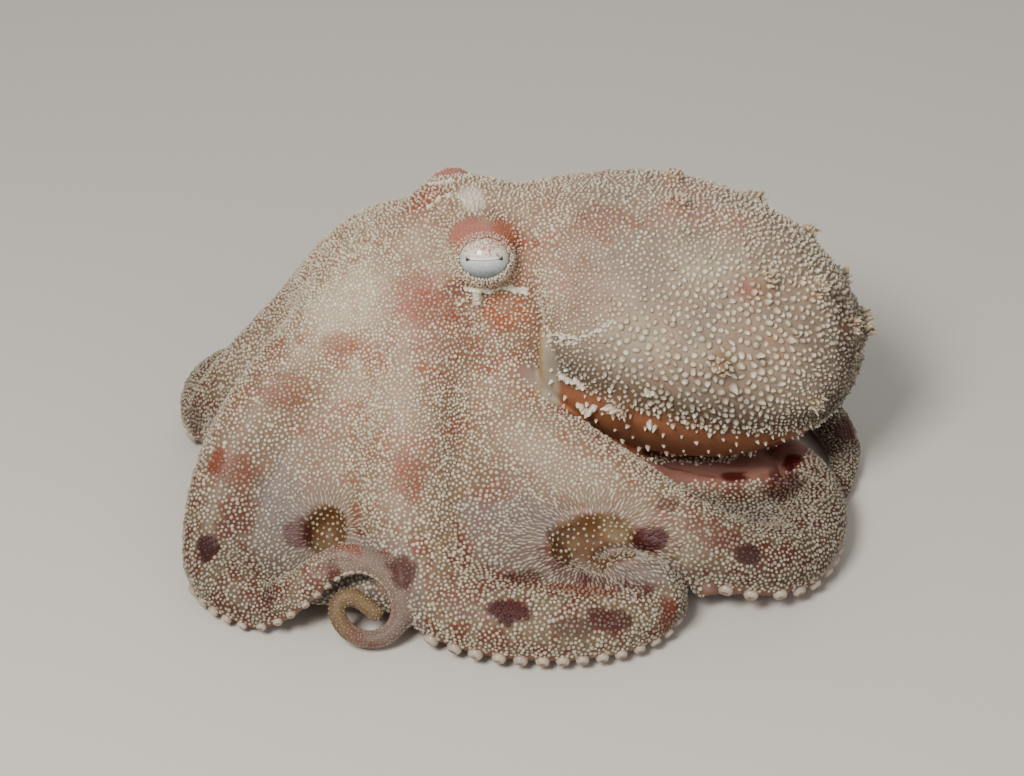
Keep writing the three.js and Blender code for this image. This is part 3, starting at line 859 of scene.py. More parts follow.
# Markings as the camera sees them: middle and half size in pixels of IMAGE, colour, strength, and whether
# only the near side has it or both sides do. The skin of the SMOOTH ones has only low papillae.
NEAR, BOTH = (1,), (1, -1)
SMOOTH = ("above_eye", "brow", "far_lid")
MARKS = dict(
    cheek=((425, 300), (52, 34), RUST, 0.5, BOTH),
    cheek_low=((450, 345), (50, 20), RUST, 0.3, BOTH),
    below_eye=((502, 311), (30, 18), ORANGE, 0.68, BOTH),
    below_eye_pale=((504, 306), (12, 9), PALE_PINK, 0.5, BOTH),
    above_eye=((475, 228), (28, 14), SOFT_PINK, 0.75, BOTH),
    brow=((505, 233), (15, 12), ORANGE, 0.68, BOTH),
    before_eye=((459, 247), (9, 8), ORANGE, 0.7, BOTH),
    behind_eye=((531, 245), (18, 8), RUST, 0.7, BOTH),
    forehead=((472, 197), (14, 17), WHITE, 0.5, NEAR),
    far_brow=((426, 196), (24, 12), RUST, 0.7, NEAR),
    far_lid=((452, 171), (22, 7), SOFT_PINK, 0.9, NEAR),
    nape=((600, 222), (42, 26), RUST, 0.4, BOTH),
    shoulder=((585, 285), (30, 40), RUST, 0.25, BOTH),
    before_stem=((455, 287), (14, 9), MAROON, 0.5, BOTH),
    # A painted highlight: a pale patch where the soft highlight lies on the mantle's top.
    mantle_painted_highlight=((715, 262), (60, 38), CREAM, 0.22, BOTH),
    mantle_pale_low=((650, 345), (50, 30), CREAM, 0.2, BOTH),
    mantle_flush=((700, 215), (60, 26), SOFT_PINK, 0.35, BOTH),
    wart_flush=((748, 290), (26, 16), RUST, 0.4, BOTH),
    # Painted shade: dark brown on the mantle's rear end.
    mantle_rear_painted_shade=((846, 355), (20, 45), BROWN, 0.65, BOTH),
    face_pale=((335, 300), (66, 58), CREAM, 0.3, BOTH),
    front_flush=((285, 393), (34, 24), RUST, 0.5, BOTH),
    web_flush=((345, 345), (26, 14), RUST, 0.5, NEAR),
    left_flush=((238, 472), (36, 18), RUST, 0.55, BOTH),
    left_edge=((196, 418), (18, 26), MAROON, 0.45, NEAR),
    fore_flush=((408, 470), (22, 30), RUST, 0.5, NEAR),
    cheek_grey=((480, 388), (46, 26), PALE_PINK, 0.5, BOTH),
    valley_front=((283, 500), (30, 34), LAVENDER, 0.75, NEAR),
    valley_side=((515, 518), (50, 26), LAVENDER, 0.75, NEAR),
    lobe_top=((640, 572), (34, 20), LAVENDER, 0.6, NEAR),
    streaks_one=((300, 533), (17, 15), PURPLE, 0.75, NEAR),
    blotch_front=((508, 611), (24, 13), MAROON, 1.0, NEAR),
    blotch_next=((611, 619), (21, 15), MAROON, 0.8, NEAR),
    blotch_end=((668, 618), (13, 14), RUST, 0.8, NEAR),
    blotch_small=((569, 627), (20, 11), MAROON, 0.6, NEAR),
    ridge_one=((520, 578), (20, 9), MAROON, 0.75, NEAR),
    ridge_two=((585, 590), (34, 9), RUST, 0.6, NEAR),
    ridge_red=((405, 571), (17, 16), MAROON, 0.85, NEAR),
    front_warm=((455, 590), (36, 30), TAN_PINK, 0.5, NEAR),
    spot_dark=((649, 538), (19, 12), MAROON, 1.0, NEAR),
    spot_rear=((748, 554), (15, 9), MAROON, 0.95, NEAR),
    spot_crest=((667, 506), (14, 9), MAROON, 0.6, NEAR),
    band_rear=((785, 487), (22, 22), MAROON, 0.8, NEAR),
    band_edge=((720, 535), (30, 16), RUST, 0.45, NEAR),
    spot_left=((208, 550), (11, 13), MAROON, 1.0, NEAR),
    curl_dark=((333, 574), (7, 13), MAROON, 0.7, NEAR),
    curl_side=((268, 596), (9, 11), MAROON, 0.6, NEAR),
)


def pixel_ray(pixel):
    """The way the camera looks through a pixel of IMAGE."""
    e = math.radians(CAMERA["elevation"])
    focal = CAMERA["pixels_per_mm_at_target"] * CAMERA["distance"]
    ahead, up = np.array([0, math.cos(e), -math.sin(e)]), np.array([0, math.sin(e), math.cos(e)])
    right = np.array([1.0, 0, 0])
    return unit(ahead * focal + right * (pixel[0] - IMAGE[0] / 2) - up * (pixel[1] - IMAGE[1] / 2))


def under_pixel(pixel):
    """The skin's point and normal under a pixel, or None."""
    hit, normal, _, _ = tree.ray_cast(Vector(CAMERA_PLACE), Vector(pixel_ray(pixel)))
    return None if hit is None else (np.array(hit), np.array(normal))


def mark_frames():
    """Each marking as a middle, axes scaled to its half sizes, a colour, a strength and if it is smooth."""
    frames = []
    sight = CAMERA["pixels_per_mm_at_target"]
    for name, (pixel, size, colour, strength, sides) in MARKS.items():
        found = under_pixel(pixel)
        if found is None:
            continue
        middle, normal = found
        view = -pixel_ray(pixel)
        normal = unit(normal + 0.25 * view)
        across = unit(np.array([1.0, 0, 0]) - normal * normal[0])
        down = np.cross(normal, across)
        tilt = max(0.45, normal @ view)
        half = np.array(size) / sight / (1.0, tilt)
        axes = np.array([across / half[0], down / half[1], normal / (1.6 * half.max() + 1.5)])
        for side in sides:
            flip = np.array([1, side, 1])
            frames.append((middle * flip, axes * flip, colour, strength, name in SMOOTH))
    return frames


# Distances in mm from the arms' roots of the blotches that the camera doesn't see
FAR_BLOTCHES = dict(R1=(34, 52, 66), R2=(30, 47, 58, 72), R3=(36, 50, 63), R4=(34, 52, 66), L4=(40,),
                    L3=(84,), L1=(30,))


def far_blotches():
    """Blotches of the arms that the camera doesn't see, like those of the near ones."""
    frames = []
    for name, starts in FAR_BLOTCHES.items():
        arm = arms[name]
        for distance in starts:
            place, radius = station_at(arm, distance + rng.uniform(-3, 3))
            index = int(np.searchsorted(arm["distance"], distance))
            lean = rng.uniform(-0.8, 0.8)
            out = unit(arm["up"][index] + arm["side"][index] * lean)
            size = rng.uniform(1.7, 3.2)
            along = arm["along"][index]
            axes = np.array([along / size, np.cross(out, along) / (size * 0.7), out / 3.5])
            colour = MAROON if rng.random() < 0.7 else RUST
            frames.append((place + out * radius, axes, colour, rng.uniform(0.75, 1.0), False))
    return frames


MARK_FRAMES = mark_frames() + far_blotches()


def blend(colours, colour, weight):
    return colours + (colour - colours) * np.clip(weight, 0, 1)[:, None]


def smoothness(points):
    """How far each point lies in a marking whose skin is smooth."""
    most = np.zeros(len(points))
    for middle, axes, _, _, smooth in MARK_FRAMES:
        if smooth:
            reach = np.sqrt((((points - middle) @ axes.T) ** 2).sum(1))
            most = np.maximum(most, within(reach, 1.05, 0.3))
    return most


WART_TIPS = np.array([mantle_place(side * abs(bearing), rise)[0]
                      for bearing, rise in PAPILLA_PLACES for side in (-1, 1)])


def painted_shade_and_pigment(places):
    """Painted shade, with some darker pigment low down: how much darker the low parts are than the high ones.
    """
    height = places.points[:, 2]
    low = ramp(height + 1.5 * value_noise(places.points, 7, 51), 1, 29)
    # Painted shade on the low parts towards the back and on the front end.
    far = 1 - 0.38 * ramp(places.points[:, 0], 16, 32) * within(height, 18, 6)
    side = 1 - 0.22 * ramp(-places.points[:, 0], 24, 38)
    # Painted shade on the mantle's lower flank and rear end; its belly is painted almost unshaded.
    flank = ramp(places.rise + 0.1 * value_noise(places.points, 6, 52), -0.32, 0.25)
    rear = 1 - 0.5 * ramp(places.back, 0.5, 0.92)
    belly = ramp(-places.rise, 0.14, 0.36)
    # Painted shade on what faces the floor; the hollow under the mantle is kept nearly free of it.
    limbs = mix(mix(0.46, 1, low) * far * side, 0.75, places.under)
    limbs = mix(limbs, 1.0, 0.8 * places.sheltered)
    return mix(limbs, mix(mix(0.45, 0.97, flank) * rear, 0.92, belly), places.mantle)


# Middles of the band of short dark streaks beside the larger pocket, in pixels of IMAGE.
STREAK_PATH = [(540, 541), (548, 557), (563, 571), (586, 579), (612, 583), (640, 587), (658, 596)]


def on_path(pixels, points):
    """Distance along a path seen by the camera and away from it, for each point."""
    found = [under_pixel(pixel) for pixel in pixels]
    path = np.array([hit[0] for hit in found if hit is not None])
    gone, along, away = 0.0, np.zeros(len(points)), np.full(len(points), 99.0)
    for a, b in zip(path, path[1:]):
        length = np.linalg.norm(b - a)
        share = np.clip((points - a) @ (b - a) / length ** 2, 0, 1)
        gap = np.linalg.norm(points - a - share[:, None] * (b - a), axis=1)
        nearer = gap < away
        along[nearer], away[nearer] = gone + share[nearer] * length, gap[nearer]
        gone += length
    return along, away, gone


def streaks(points):
    """Short dark streaks across a curved band."""
    along, away, length = on_path(STREAK_PATH, points)
    slanted = np.c_[(along + 0.5 * away) / 0.5, away / 2.4, np.zeros(len(points))]
    band = within(away, 1.9, 1.3) * ramp(along, 0, 1.5) * within(along, length, 1.5)
    return band * mix(0.45, 1, ramp(value_noise(slanted, 1.0, 81), -0.2, 0.4)) * 0.85


def limb_colours(places, broad, patch, fine):
    """The arms, the web between them and the head."""
    p = places.points
    colours = tone(TAN_PINK, PALE_PINK, np.clip(0.45 + 0.9 * broad, 0, 1))
    colours = blend(colours, RUST, ramp(patch + 0.5 * fine, 0.15, 0.75) * 0.5)
    colours = blend(colours, CREAM_TAN, places.on_arm * within(p[:, 2], 20, 8) * 0.7)
    arm_rust = places.on_arm * ramp(fractal(p, 3.2, 13) + 0.7 * fine, -0.12, 0.24) * within(p[:, 2], 18, 6)
    colours = blend(colours, mix(RUST, MAROON, 0.4), arm_rust * 0.82)
    net = ramp(fractal(p, 4.5, 17) + 0.6 * fine, 0.0, 0.5) * ramp(p[:, 2], 10, 18)
    colours = blend(colours, RUST, net * 0.4)
    web = (1 - places.on_arm) * (1 - places.head) * (1 - places.mantle)
    colours = blend(colours, LAVENDER, web * within(p[:, 2], 18, 8) * 0.6)
    head = tone(HEAD_BROWN, PALE_PINK, np.clip(0.55 + 1.1 * patch + 0.3 * fine, 0, 1))
    return blend(colours, head, places.head * 0.9)


def sac_colours(places, patch, fine):
    """The mantle: grey above, brown at its side and end, orange below."""
    sac = tone(MANTLE_GREY, PALE_PINK, np.clip(0.35 + 1.2 * patch, 0, 1))
    sac = blend(sac, RUST, ramp(patch + 0.5 * fine, 0.3, 0.9) * 0.35)
    sac = blend(sac, DIM_BROWN, ramp(-places.rise + 0.15 * patch, -0.1, 0.25) * 0.8)
    sac = blend(sac, ORANGE_BROWN, ramp(-places.rise + 0.12 * patch, 0.14, 0.36))
    sac = blend(sac, BROWN, ramp(-places.rise, 0.2, 0.6) * ramp(places.back, 0.35, 0.85) * 0.5)
    wart = np.min([np.linalg.norm(places.points - tip, axis=1) for tip in WART_TIPS], axis=0)
    return blend(sac, WART_TAN, within(wart, 2.7 + 1.2 * fine, 1.4) * 0.5)


def add_hidden(places, colours, broad, fine):
    """The sheltered hollow, the coiled arm, the spokes of the underside and the pockets."""
    p = places.points
    colours = blend(colours, SHELTER_PINK, places.sheltered * 0.9)
    drawn_out = ramp(fractal(p * (1, 3, 3), 5, 31), 0.1, 0.5)
    colours = blend(colours, RUST * 0.6, places.sheltered * drawn_out * 0.6)
    coil = tone(COIL_GREY, RUST, ramp(fractal(p, 2.4, 91) + 0.4 * fine, 0.0, 0.4) * 0.75)
    colours = blend(colours, coil, places.coil * 0.85)
    colours = blend(colours, TIP_TAN, places.coil_tip)
    bearing = np.arctan2(p[:, 1] - MOUTH[1], p[:, 0] - MOUTH[0])
    out = np.hypot(p[:, 0] - MOUTH[0], p[:, 1] - MOUTH[1])
    spokes = value_noise(np.c_[9 * np.cos(bearing), 9 * np.sin(bearing), out * 0.06], 1.0, 55) + 0.5 * fine
    oral = tone(SPOKE_DARK, SPOKE_PALE, ramp(spokes + 0.5 * broad, -0.3, 0.7))
    colours = blend(colours, oral, places.under * 0.9)
    mounds = tone(OCHRE, MOUND_TAN, ramp(fractal(p, 4, 61, 2), 0.0, 0.5))
    colours = blend(colours, RIM_GREY, places.pocket_rim * 0.7)
    colours = blend(colours, mounds, places.pocket)
    return blend(colours, BROWN, places.pocket * ramp(fine, 0.2, 0.6) * 0.4)


def add_marks(places, colours, fine):
    """The markings, and how dark they are at each point."""
    p = places.points
    pigment = np.zeros(len(p))
    for middle, axes, colour, strength, _ in MARK_FRAMES:
        q = (p - middle) @ axes.T
        reach = np.sqrt((q ** 2).sum(1))
        near = reach < 1.9
        soft = 1 - strength
        edge = mix(0.3, 0.75, soft) * fractal(p[near], 2.6, 21)
        ragged = reach[near] + edge + mix(0.3, 0.7, soft) * fine[near]
        weight = np.zeros(len(p))
        weight[near] = (1 - ramp(ragged, mix(0.78, 0.1, soft), 1.08)) * strength
        colours = blend(colours, colour, weight * (1 - 0.8 * places.lip))
        pigment = np.maximum(pigment, weight * (colour.sum() < 0.35))
    return colours, pigment


def ground(places):
    """Colour of the skin between the papillae, with painted shade, and how dark its markings are."""
    p = places.points
    broad = fractal(p, 16, 1)
    patch = fractal(p, 6, 5)
    fine = fractal(p, 1.6, 9, 2)
    colours = limb_colours(places, broad, patch, fine)
    fade = mix(1, ramp(p[:, 0] - MANTLE["front"] + 2 * fine, 0.5, 9), ramp(p[:, 2], 32, 37))
    colours = blend(colours, sac_colours(places, patch, fine), places.mantle * fade)
    colours = add_hidden(places, colours, broad, fine)
    colours, pigment = add_marks(places, colours, fine)
    streaked = streaks(p)
    colours = blend(colours, PURPLE, streaked)
    colours = blend(colours, GREY_LIP, places.lip * 0.9)
    colours = blend(colours, GOLD, places.lip_edge * 0.8)
    hood = tone(HOOD_RUST, HOOD_GREY, ramp(p[:, 0], -3, 4))
    colours = blend(colours, hood, places.siphon)
    colours = blend(colours, MOUTH_PINK, places.mouth)
    colours = blend(colours, BROWN * 0.5, places.gullet)
    # Random tone variation, times the painted shade (with some low pigment) worked out for each point.
    dim = (1 + 0.10 * fine + 0.06 * fractal(p, 0.9, 41, 1)) * painted_shade_and_pigment(places)
    return np.clip(colours * dim[:, None], 0.006, 0.95), np.maximum(pigment, streaked)


# ---- Papillae --------------------------------------------------------------------------------------

PROFILES = dict(
    nodule=((1.0, -0.25), (0.80, 0.24), (0.50, 0.62), (0.22, 0.90)),
    spike=((1.0, -0.25), (0.66, 0.34), (0.30, 0.78)),
    dome=((1.0, -0.25), (0.84, 0.42), (0.46, 0.86)),
)
COAT_LIMIT = 180000  # triangles in one coat piece
PATCH = 0.0013  # half width of a papilla's patch of the texture


def scatter(keep, spacing, density, seed):
    """Even places on the skin, given how much each face is wanted and the spacing there."""
    draw = np.random.default_rng(seed)
    wanted = face_areas * keep
    count = int(wanted.sum() * density)
    faces = draw.choice(len(skin_quads), count, p=wanted / wanted.sum())
    s, t = draw.random((2, count, 1))
    weights = [(1 - s) * (1 - t), s * (1 - t), s * t, (1 - s) * t]
    points = sum(w * skin_points[skin_quads[faces, i]] for i, w in enumerate(weights))
    normals = unit(sum(w * skin_normals[skin_quads[faces, i]] for i, w in enumerate(weights)))
    uv = sum(w * skin_uv[faces, i] for i, w in enumerate(weights))
    reach = spacing[faces]
    finder = KDTree(count)
    for i, point in enumerate(points):
        finder.insert(point, i)
    finder.balance()
    alive = np.ones(count, bool)
    taken = []
    for i in range(count):
        if alive[i]:
            taken.append(i)
            for _, j, _ in finder.find_range(points[i], reach[i]):
                alive[j] = False
    taken = np.array(taken)
    return points[taken], normals[taken], uv[taken], reach[taken]


def bands(rings, sides):
    """Triangles between rings of points, each ring joined to the next."""
    triangles = []
    for ring in range(rings - 1):
        for side in range(sides):
            a, b = ring * sides + side, ring * sides + (side + 1) % sides
            triangles += [(a, b, b + sides), (a, b + sides, a + sides)]
    return triangles


def repeated(triangles, copies, each):
    """The triangles of one lump for `copies` lumps of `each` points."""
    return (triangles[None] + (np.arange(copies) * each)[:, None, None]).reshape(-1, 3)


def grow(name, profile, roots, normals, uv, along, long, wide, tall, lean, base, tip, sides=8, ragged=0.13):
    """Papillae as closed lumps, joined in pieces under COAT_LIMIT triangles."""
    rings = PROFILES[profile]
    count = len(roots)
    angle = np.linspace(0, 2 * math.pi, sides, endpoint=False)
    across = np.cross(normals, along)
    twist = rng.uniform(0, 2 * math.pi, count)
    points, patches, tints = [], [], []
    for reach, height in rings:
        turned = angle[None, :] + twist[:, None]
        jitter = 1 + rng.uniform(-ragged, ragged, (count, sides))
        a = (np.cos(turned) * jitter * reach)[..., None] * (along * long[:, None])[:, None]
        b = (np.sin(turned) * jitter * reach)[..., None] * (across * wide[:, None])[:, None]
        middle = roots + normals * (height * tall)[:, None] + lean * (max(height, 0) ** 1.5 * tall)[:, None]
        points.append(middle[:, None] + a + b)
        flat = np.stack([np.cos(turned), np.sin(turned)], 2) * reach * PATCH
        patches.append(uv[:, None] + flat)
        tints.append(np.repeat(mix(base, tip, ramp(height, 0.0, 0.85))[:, None], sides, 1))
    points.append((roots + normals * tall[:, None] + lean * tall[:, None])[:, None])
    patches.append(uv[:, None])
    tints.append(tip[:, None])
    points, patches, tints = (np.concatenate(rows, 1) for rows in (points, patches, tints))
    each = points.shape[1]
    last = (len(rings) - 1) * sides
    triangles = bands(len(rings), sides)
    triangles += [(last + side, last + (side + 1) % sides, each - 1) for side in range(sides)]
    triangles += [(0, side + 1, side) for side in range(1, sides - 1)]
    triangles = np.array(triangles)
    step = COAT_LIMIT // len(triangles)
    for start in range(0, count, step):
        part = slice(start, start + step)
        faces = repeated(triangles, len(points[part]), each)
        piece = make_mesh(f"{name}_{start // step + 1}", points[part].reshape(-1, 3), faces)
        set_colours(piece, tints[part].reshape(-1, 3))
        set_uv(piece, patches[part].reshape(-1, 2)[faces.ravel()])
        piece.data.materials.append(flesh)
    print(name, count, count * len(triangles))


def set_uv(piece, uv):
    layer = piece.data.uv_layers.new(name="OFBake")
    layer.data.foreach_set("uv", np.asarray(uv, np.float32).ravel())


def tangents(normals, wish):
    """Directions across the normals, nearest to the wished ones."""
    flat = wish - normals * (wish * normals).sum(1)[:, None]
    lost = np.linalg.norm(flat, axis=1) < 1e-3
    flat[lost] = np.cross(normals[lost], (0.3, 0.5, 0.8))
    return unit(flat)


def random_wish(count):
    return rng.normal(size=(count, 3))


# ---- Materials -------------------------------------------------------------------------------------


def new_material(name, **constants):
    made = bpy.data.materials.new(name)
    made.use_nodes = True
    shader = made.node_tree.nodes["Principled BSDF"]
    for socket, value in constants.items():
        shader.inputs[socket.replace("_", " ")].default_value = value
    return made, made.node_tree.nodes, made.node_tree.links, shader


def tinted(name, speckle, bump, **constants):
    """Moist skin: the piece's Tint, darkened by fine pigment cells, with a fine grain in relief."""
    made, nodes, links, shader = new_material(name, **constants)

    def node(kind, inputs, **values):
        """A new node with these links and values on its inputs."""
        added = nodes.new("ShaderNode" + kind)
        for socket, value in values.items():
            added.inputs[socket.replace("_", " ")].default_value = value
        for socket, source in inputs.items():
            links.new(source, added.inputs[socket])
        return added

    tint = node("Attribute", {})
    tint.attribute_name = "Tint"
    place = node("TexCoord", {}).outputs["Object"]
    cells = node("TexVoronoi", {"Vector": place}, Scale=2600, Randomness=1.0).outputs["Distance"]
    spots = node("MapRange", {"Value": cells}, From_Min=0.12, From_Max=0.42, To_Min=1 - speckle, To_Max=1.0)
    noise = node("TexNoise", {"Vector": place}, Scale=900, Detail=3).outputs["Fac"]
    shade = node("MapRange", {"Value": noise}, To_Min=0.86, To_Max=1.12)
    both = node("Math", {0: spots.outputs["Result"], 1: shade.outputs["Result"]})
    both.operation = "MULTIPLY"
    colour = node("VectorMath", {})
    colour.operation = "SCALE"
    links.new(tint.outputs["Color"], colour.inputs["Vector"])
    links.new(both.outputs["Value"], colour.inputs["Scale"])
    links.new(colour.outputs["Vector"], shader.inputs["Base Color"])
    rough = node("MapRange", {"Value": noise}, To_Min=0.48, To_Max=0.72)
    links.new(rough.outputs["Result"], shader.inputs["Roughness"])
    relief = node("Bump", {"Height": noise}, Strength=bump, Distance=0.0001)
    links.new(relief.outputs["Normal"], shader.inputs["Normal"])
    return made


flesh = tinted("flesh", 0.14, 0.5, Subsurface_Weight=0.12, Subsurface_Scale=0.0012,
               Subsurface_Radius=(1.0, 0.45, 0.3), Coat_Weight=0.05, Coat_Roughness=0.35,
               Specular_IOR_Level=0.32)
wet_eye = tinted("wet_eye", 0.05, 0.05, Coat_Weight=1.0, Coat_Roughness=0.04)
sucker_skin = tinted("sucker_skin", 0.12, 0.3, Subsurface_Weight=0.3, Subsurface_Scale=0.0015,
                     Subsurface_Radius=(1.0, 0.7, 0.6), Coat_Weight=0.3, Coat_Roughness=0.2)

# ---- The skin, coloured ----------------------------------------------------------------------------

skin = make_mesh("skin", skin_points, skin_quads)
set_colours(skin, ground(Places(skin_points, skin_normals))[0])
set_uv(skin, skin_uv.reshape(-1, 2))
flesh_nodes = [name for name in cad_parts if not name.startswith("eye")]
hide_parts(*flesh_nodes)
skin.data.materials.append(flesh)

# ---- The coat of papillae --------------------------------------------------------------------------

face_middles = corners.mean(1)
on_face = Places(face_middles, unit(face_normals + 1e-12))
from_eye = np.min([np.linalg.norm(face_middles - c, axis=1) for c in EYE_CENTRES.values()], axis=0)
smooth_face = smoothness(face_middles)
bare = np.maximum.reduce([on_face.under, on_face.sheltered, on_face.lip, on_face.siphon, on_face.mouth,
                          on_face.mantle * ramp(-on_face.rise, 0.15, 0.31), within(from_eye, 4.12, 0.15)])
uneven = 1 + 0.12 * value_noise(face_middles, 5, 3)


def pocket_pull(points):
    """Directions towards the nearest pocket and how strongly it draws the grain to itself."""
    pull = np.zeros_like(points)
    for pocket in POCKETS:
        towards = np.array(pocket["centre"]) - points
        gap = np.linalg.norm(towards / pocket["radii"], axis=1)
        weight = np.exp(-((gap - 1.35) / 0.8) ** 2) * ramp(gap, 1.0, 1.2)
        pull += unit(towards) * weight[:, None]
    return pull


def coat_mantle():
    broad = np.exp(-((face_middles[:, 0] - 30) / 17) ** 2 - ((face_middles[:, 2] - 33) / 10) ** 2)
    spacing = mix(0.60, 1.12, broad) * uneven * mix(1, 1.25, ramp(value_noise(face_middles, 9, 71), 0.2, 0.7))
    spacing = spacing * mix(0.74, 1, ramp(face_middles[:, 0], 5, 20))
    roots, normals, uv, reach = scatter((on_face.mantle > 0.5) * (1 - bare), spacing, density=22, seed=1)
    places = Places(roots, normals)
    base, pigment = ground(places)
    count = len(roots)
    big = rng.random(count) ** 3
    size = reach * (0.60 + 0.18 * big)
    tall = reach * (0.42 + 0.5 * big) * rng.uniform(0.75, 1.3, count)
    # The pale tips get the same painted shade as the skin under them.
    tip_painted_shade = painted_shade_and_pigment(places)[:, None]
    pale = mix(CREAM, WHITE, rng.random((count, 1)) * 0.8) * tip_painted_shade
    tip = tone(base, pale, rng.uniform(0.5, 1.0, count))
    tip = mix(tip, base, 0.5 * pigment[:, None])
    along = tangents(normals, random_wish(count))
    lean = tangents(normals, random_wish(count)) * rng.uniform(0, 0.7, (count, 1))
    wide = size * rng.uniform(0.62, 1.0, count)
    grow("coat_mantle", "nodule", roots, normals, uv, along, size, wide, tall, lean, base, tip,
         ragged=0.2)


def coat_warts():
    """Rosettes of cream fingers on the mantle's larger papillae."""
    roots, ways = [], []
    for bearing, rise in PAPILLA_PLACES:
        for side in (-1, 1):
            root, out = mantle_place(side * abs(bearing), rise)
            across = unit(np.cross(out, (0.3, 0.2, 1.0)))
            other = np.cross(out, across)
            for angle in np.linspace(0, 2 * math.pi, 9, endpoint=False) + rng.uniform(0, 0.6):
                spread = across * math.cos(angle) + other * math.sin(angle)
                roots.append(root + out * rng.uniform(0.4, 1.5) + spread * rng.uniform(0.6, 1.7))
                ways.append(out + spread * rng.uniform(-0.5, 0.4))
    roots, normals, uv = on_skin(np.array(roots))
    count = len(roots)
    normals = unit(normals + unit(np.array(ways)))
    base, _ = ground(Places(roots, normals))
    size = rng.uniform(0.34, 0.6, count)
    tall = rng.uniform(0.7, 1.5, count)
    along = tangents(normals, random_wish(count))
    tip = mix(base, mix(CREAM, GOLD, rng.random((count, 1)) * 0.5), 0.85)
    grow("coat_mantle_warts", "spike", roots, normals, uv, along, size, size * 0.8, tall, along * 0.3,
         mix(base, tip, 0.3), tip)


def on_skin(points):
    """The skin's nearest places, its normals and its UVs there."""
    found = [tree.find_nearest(Vector(point)) for point in points]
    roots = np.array([place for place, _, _, _ in found])
    normals = np.array([normal for _, normal, _, _ in found])
    return roots, normals, np.array([skin_uv[face].mean(0) for _, _, face, _ in found])


def coat_underside():
    """Sparse white spikes on the bare underside of the mantle."""
    low = (on_face.mantle > 0.5) * ramp(-on_face.rise, 0.14, 0.24) * ramp(0.9 + on_face.rise, 0, 0.2)
    spacing = mix(1.15, 2.7, ramp(-on_face.rise, 0.2, 0.5))
    roots, normals, uv, _ = scatter(low, spacing, density=4, seed=5)
    base, _ = ground(Places(roots, normals))
    count = len(roots)
    size = rng.uniform(0.28, 0.55, count)
    along = tangents(normals, random_wish(count))
    tip = tone(base, WHITE, rng.uniform(0.5, 1.0, count))
    tall = size * rng.uniform(0.9, 1.7, count)
    grow("coat_mantle_low", "spike", roots, normals, uv, along, size, size * 0.8, tall, along * 0.3,
         mix(base, tip, 0.4), tip)


def coat_head():
    spacing = mix(0.50, 0.66, 0.5 + 0.5 * value_noise(face_middles, 4, 3))
    spacing = spacing * mix(0.8, 1, ramp(from_eye, 4.5, 8))
    wanted = (on_face.head > 0.5) * (on_face.mantle <= 0.5) * (1 - bare)
    roots, normals, uv, reach = scatter(wanted, spacing, density=34, seed=2)
    base, _ = ground(Places(roots, normals))
    count = len(roots)
    soft = smoothness(roots)
    size = reach * rng.uniform(0.58, 0.82, count) * mix(1, 0.6, soft)
    fringe = mix(1.0, 1.3, ramp(roots[:, 2], 46, 50))
    tall = reach * rng.uniform(0.3, 0.78, count) * fringe * mix(1, 0.35, soft)
    pale = mix(CREAM, WHITE, rng.random((count, 1)) * 0.6)
    tip = tone(base, pale, rng.uniform(0.55, 1.0, count))
    tip = mix(tip, base, 0.75 * soft[:, None])
    along = tangents(normals, random_wish(count))
    lean = along * rng.uniform(0, 0.8, (count, 1))
    grow("coat_head", "spike", roots, normals, uv, along, size, size * 0.75, tall, lean,
         mix(base, tip, 0.2), tip, sides=6, ragged=0.25)


def coat_arms():
    high = ramp(face_middles[:, 2], 18, 30)
    drawn = np.linalg.norm(pocket_pull(face_middles), axis=1)
    spacing = mix(0.55, 0.50, high) * mix(1, 0.85, on_face.free) * uneven * mix(1, 0.95, drawn)
    spacing = spacing * mix(1, 1.5, on_face.pocket) * mix(1, 1.25, smooth_face) * mix(1, 0.85, on_face.coil)
    wanted = (on_face.head <= 0.5) * (on_face.mantle <= 0.5) * (1 - bare)
    roots, normals, uv, reach = scatter(wanted, spacing, density=30, seed=3)
    places = Places(roots, normals)
    base, pigment = ground(places)
    count = len(roots)
    soft = smoothness(roots)
    size = np.minimum(reach, 0.8) * (0.5 + 0.28 * rng.random(count) ** 2)
    size *= mix(1, 0.6, np.maximum.reduce([soft, places.pocket, 0.9 * places.coil]))
    tall = size * rng.uniform(0.5, 0.95, count)
    pull = pocket_pull(roots)
    strength = np.clip(np.linalg.norm(pull, axis=1), 0, 1)
    along = tangents(normals, tone(random_wish(count) * 0.5, pull * 4, strength))
    long = size * mix(1.05, 1.75, strength)
    wide = size * mix(0.95, 0.6, strength)
    # The pale tips get a share of the skin's painted shade.
    tip_painted_shade = mix(0.3, 1, painted_shade_and_pigment(places))[:, None]
    pale = mix(CREAM, WHITE, rng.random((count, 1)) * 0.7) * tip_painted_shade
    tip = tone(base, pale, rng.uniform(0.45, 0.95, count))
    plain = np.maximum.reduce([0.35 * strength, 0.96 * pigment, 0.6 * soft, 0.5 * places.coil])
    tip = tone(tip, base, plain)
    lean = along * rng.uniform(0, 0.3, (count, 1))
    grow("coat_arms", "dome", roots, normals, uv, along, long, wide, tall, lean,
         mix(base, tip, 0.25), tip, sides=6)


BEAD_ROWS, BEADS = (0.66, 0.75, 0.84, 0.93), 34  # rows on the eyeball under the upper lid, and beads in each
GRAIN_ROWS = ((1.02, 56), (1.11, 60), (1.22, 64))  # rows round the opening, and grains in each


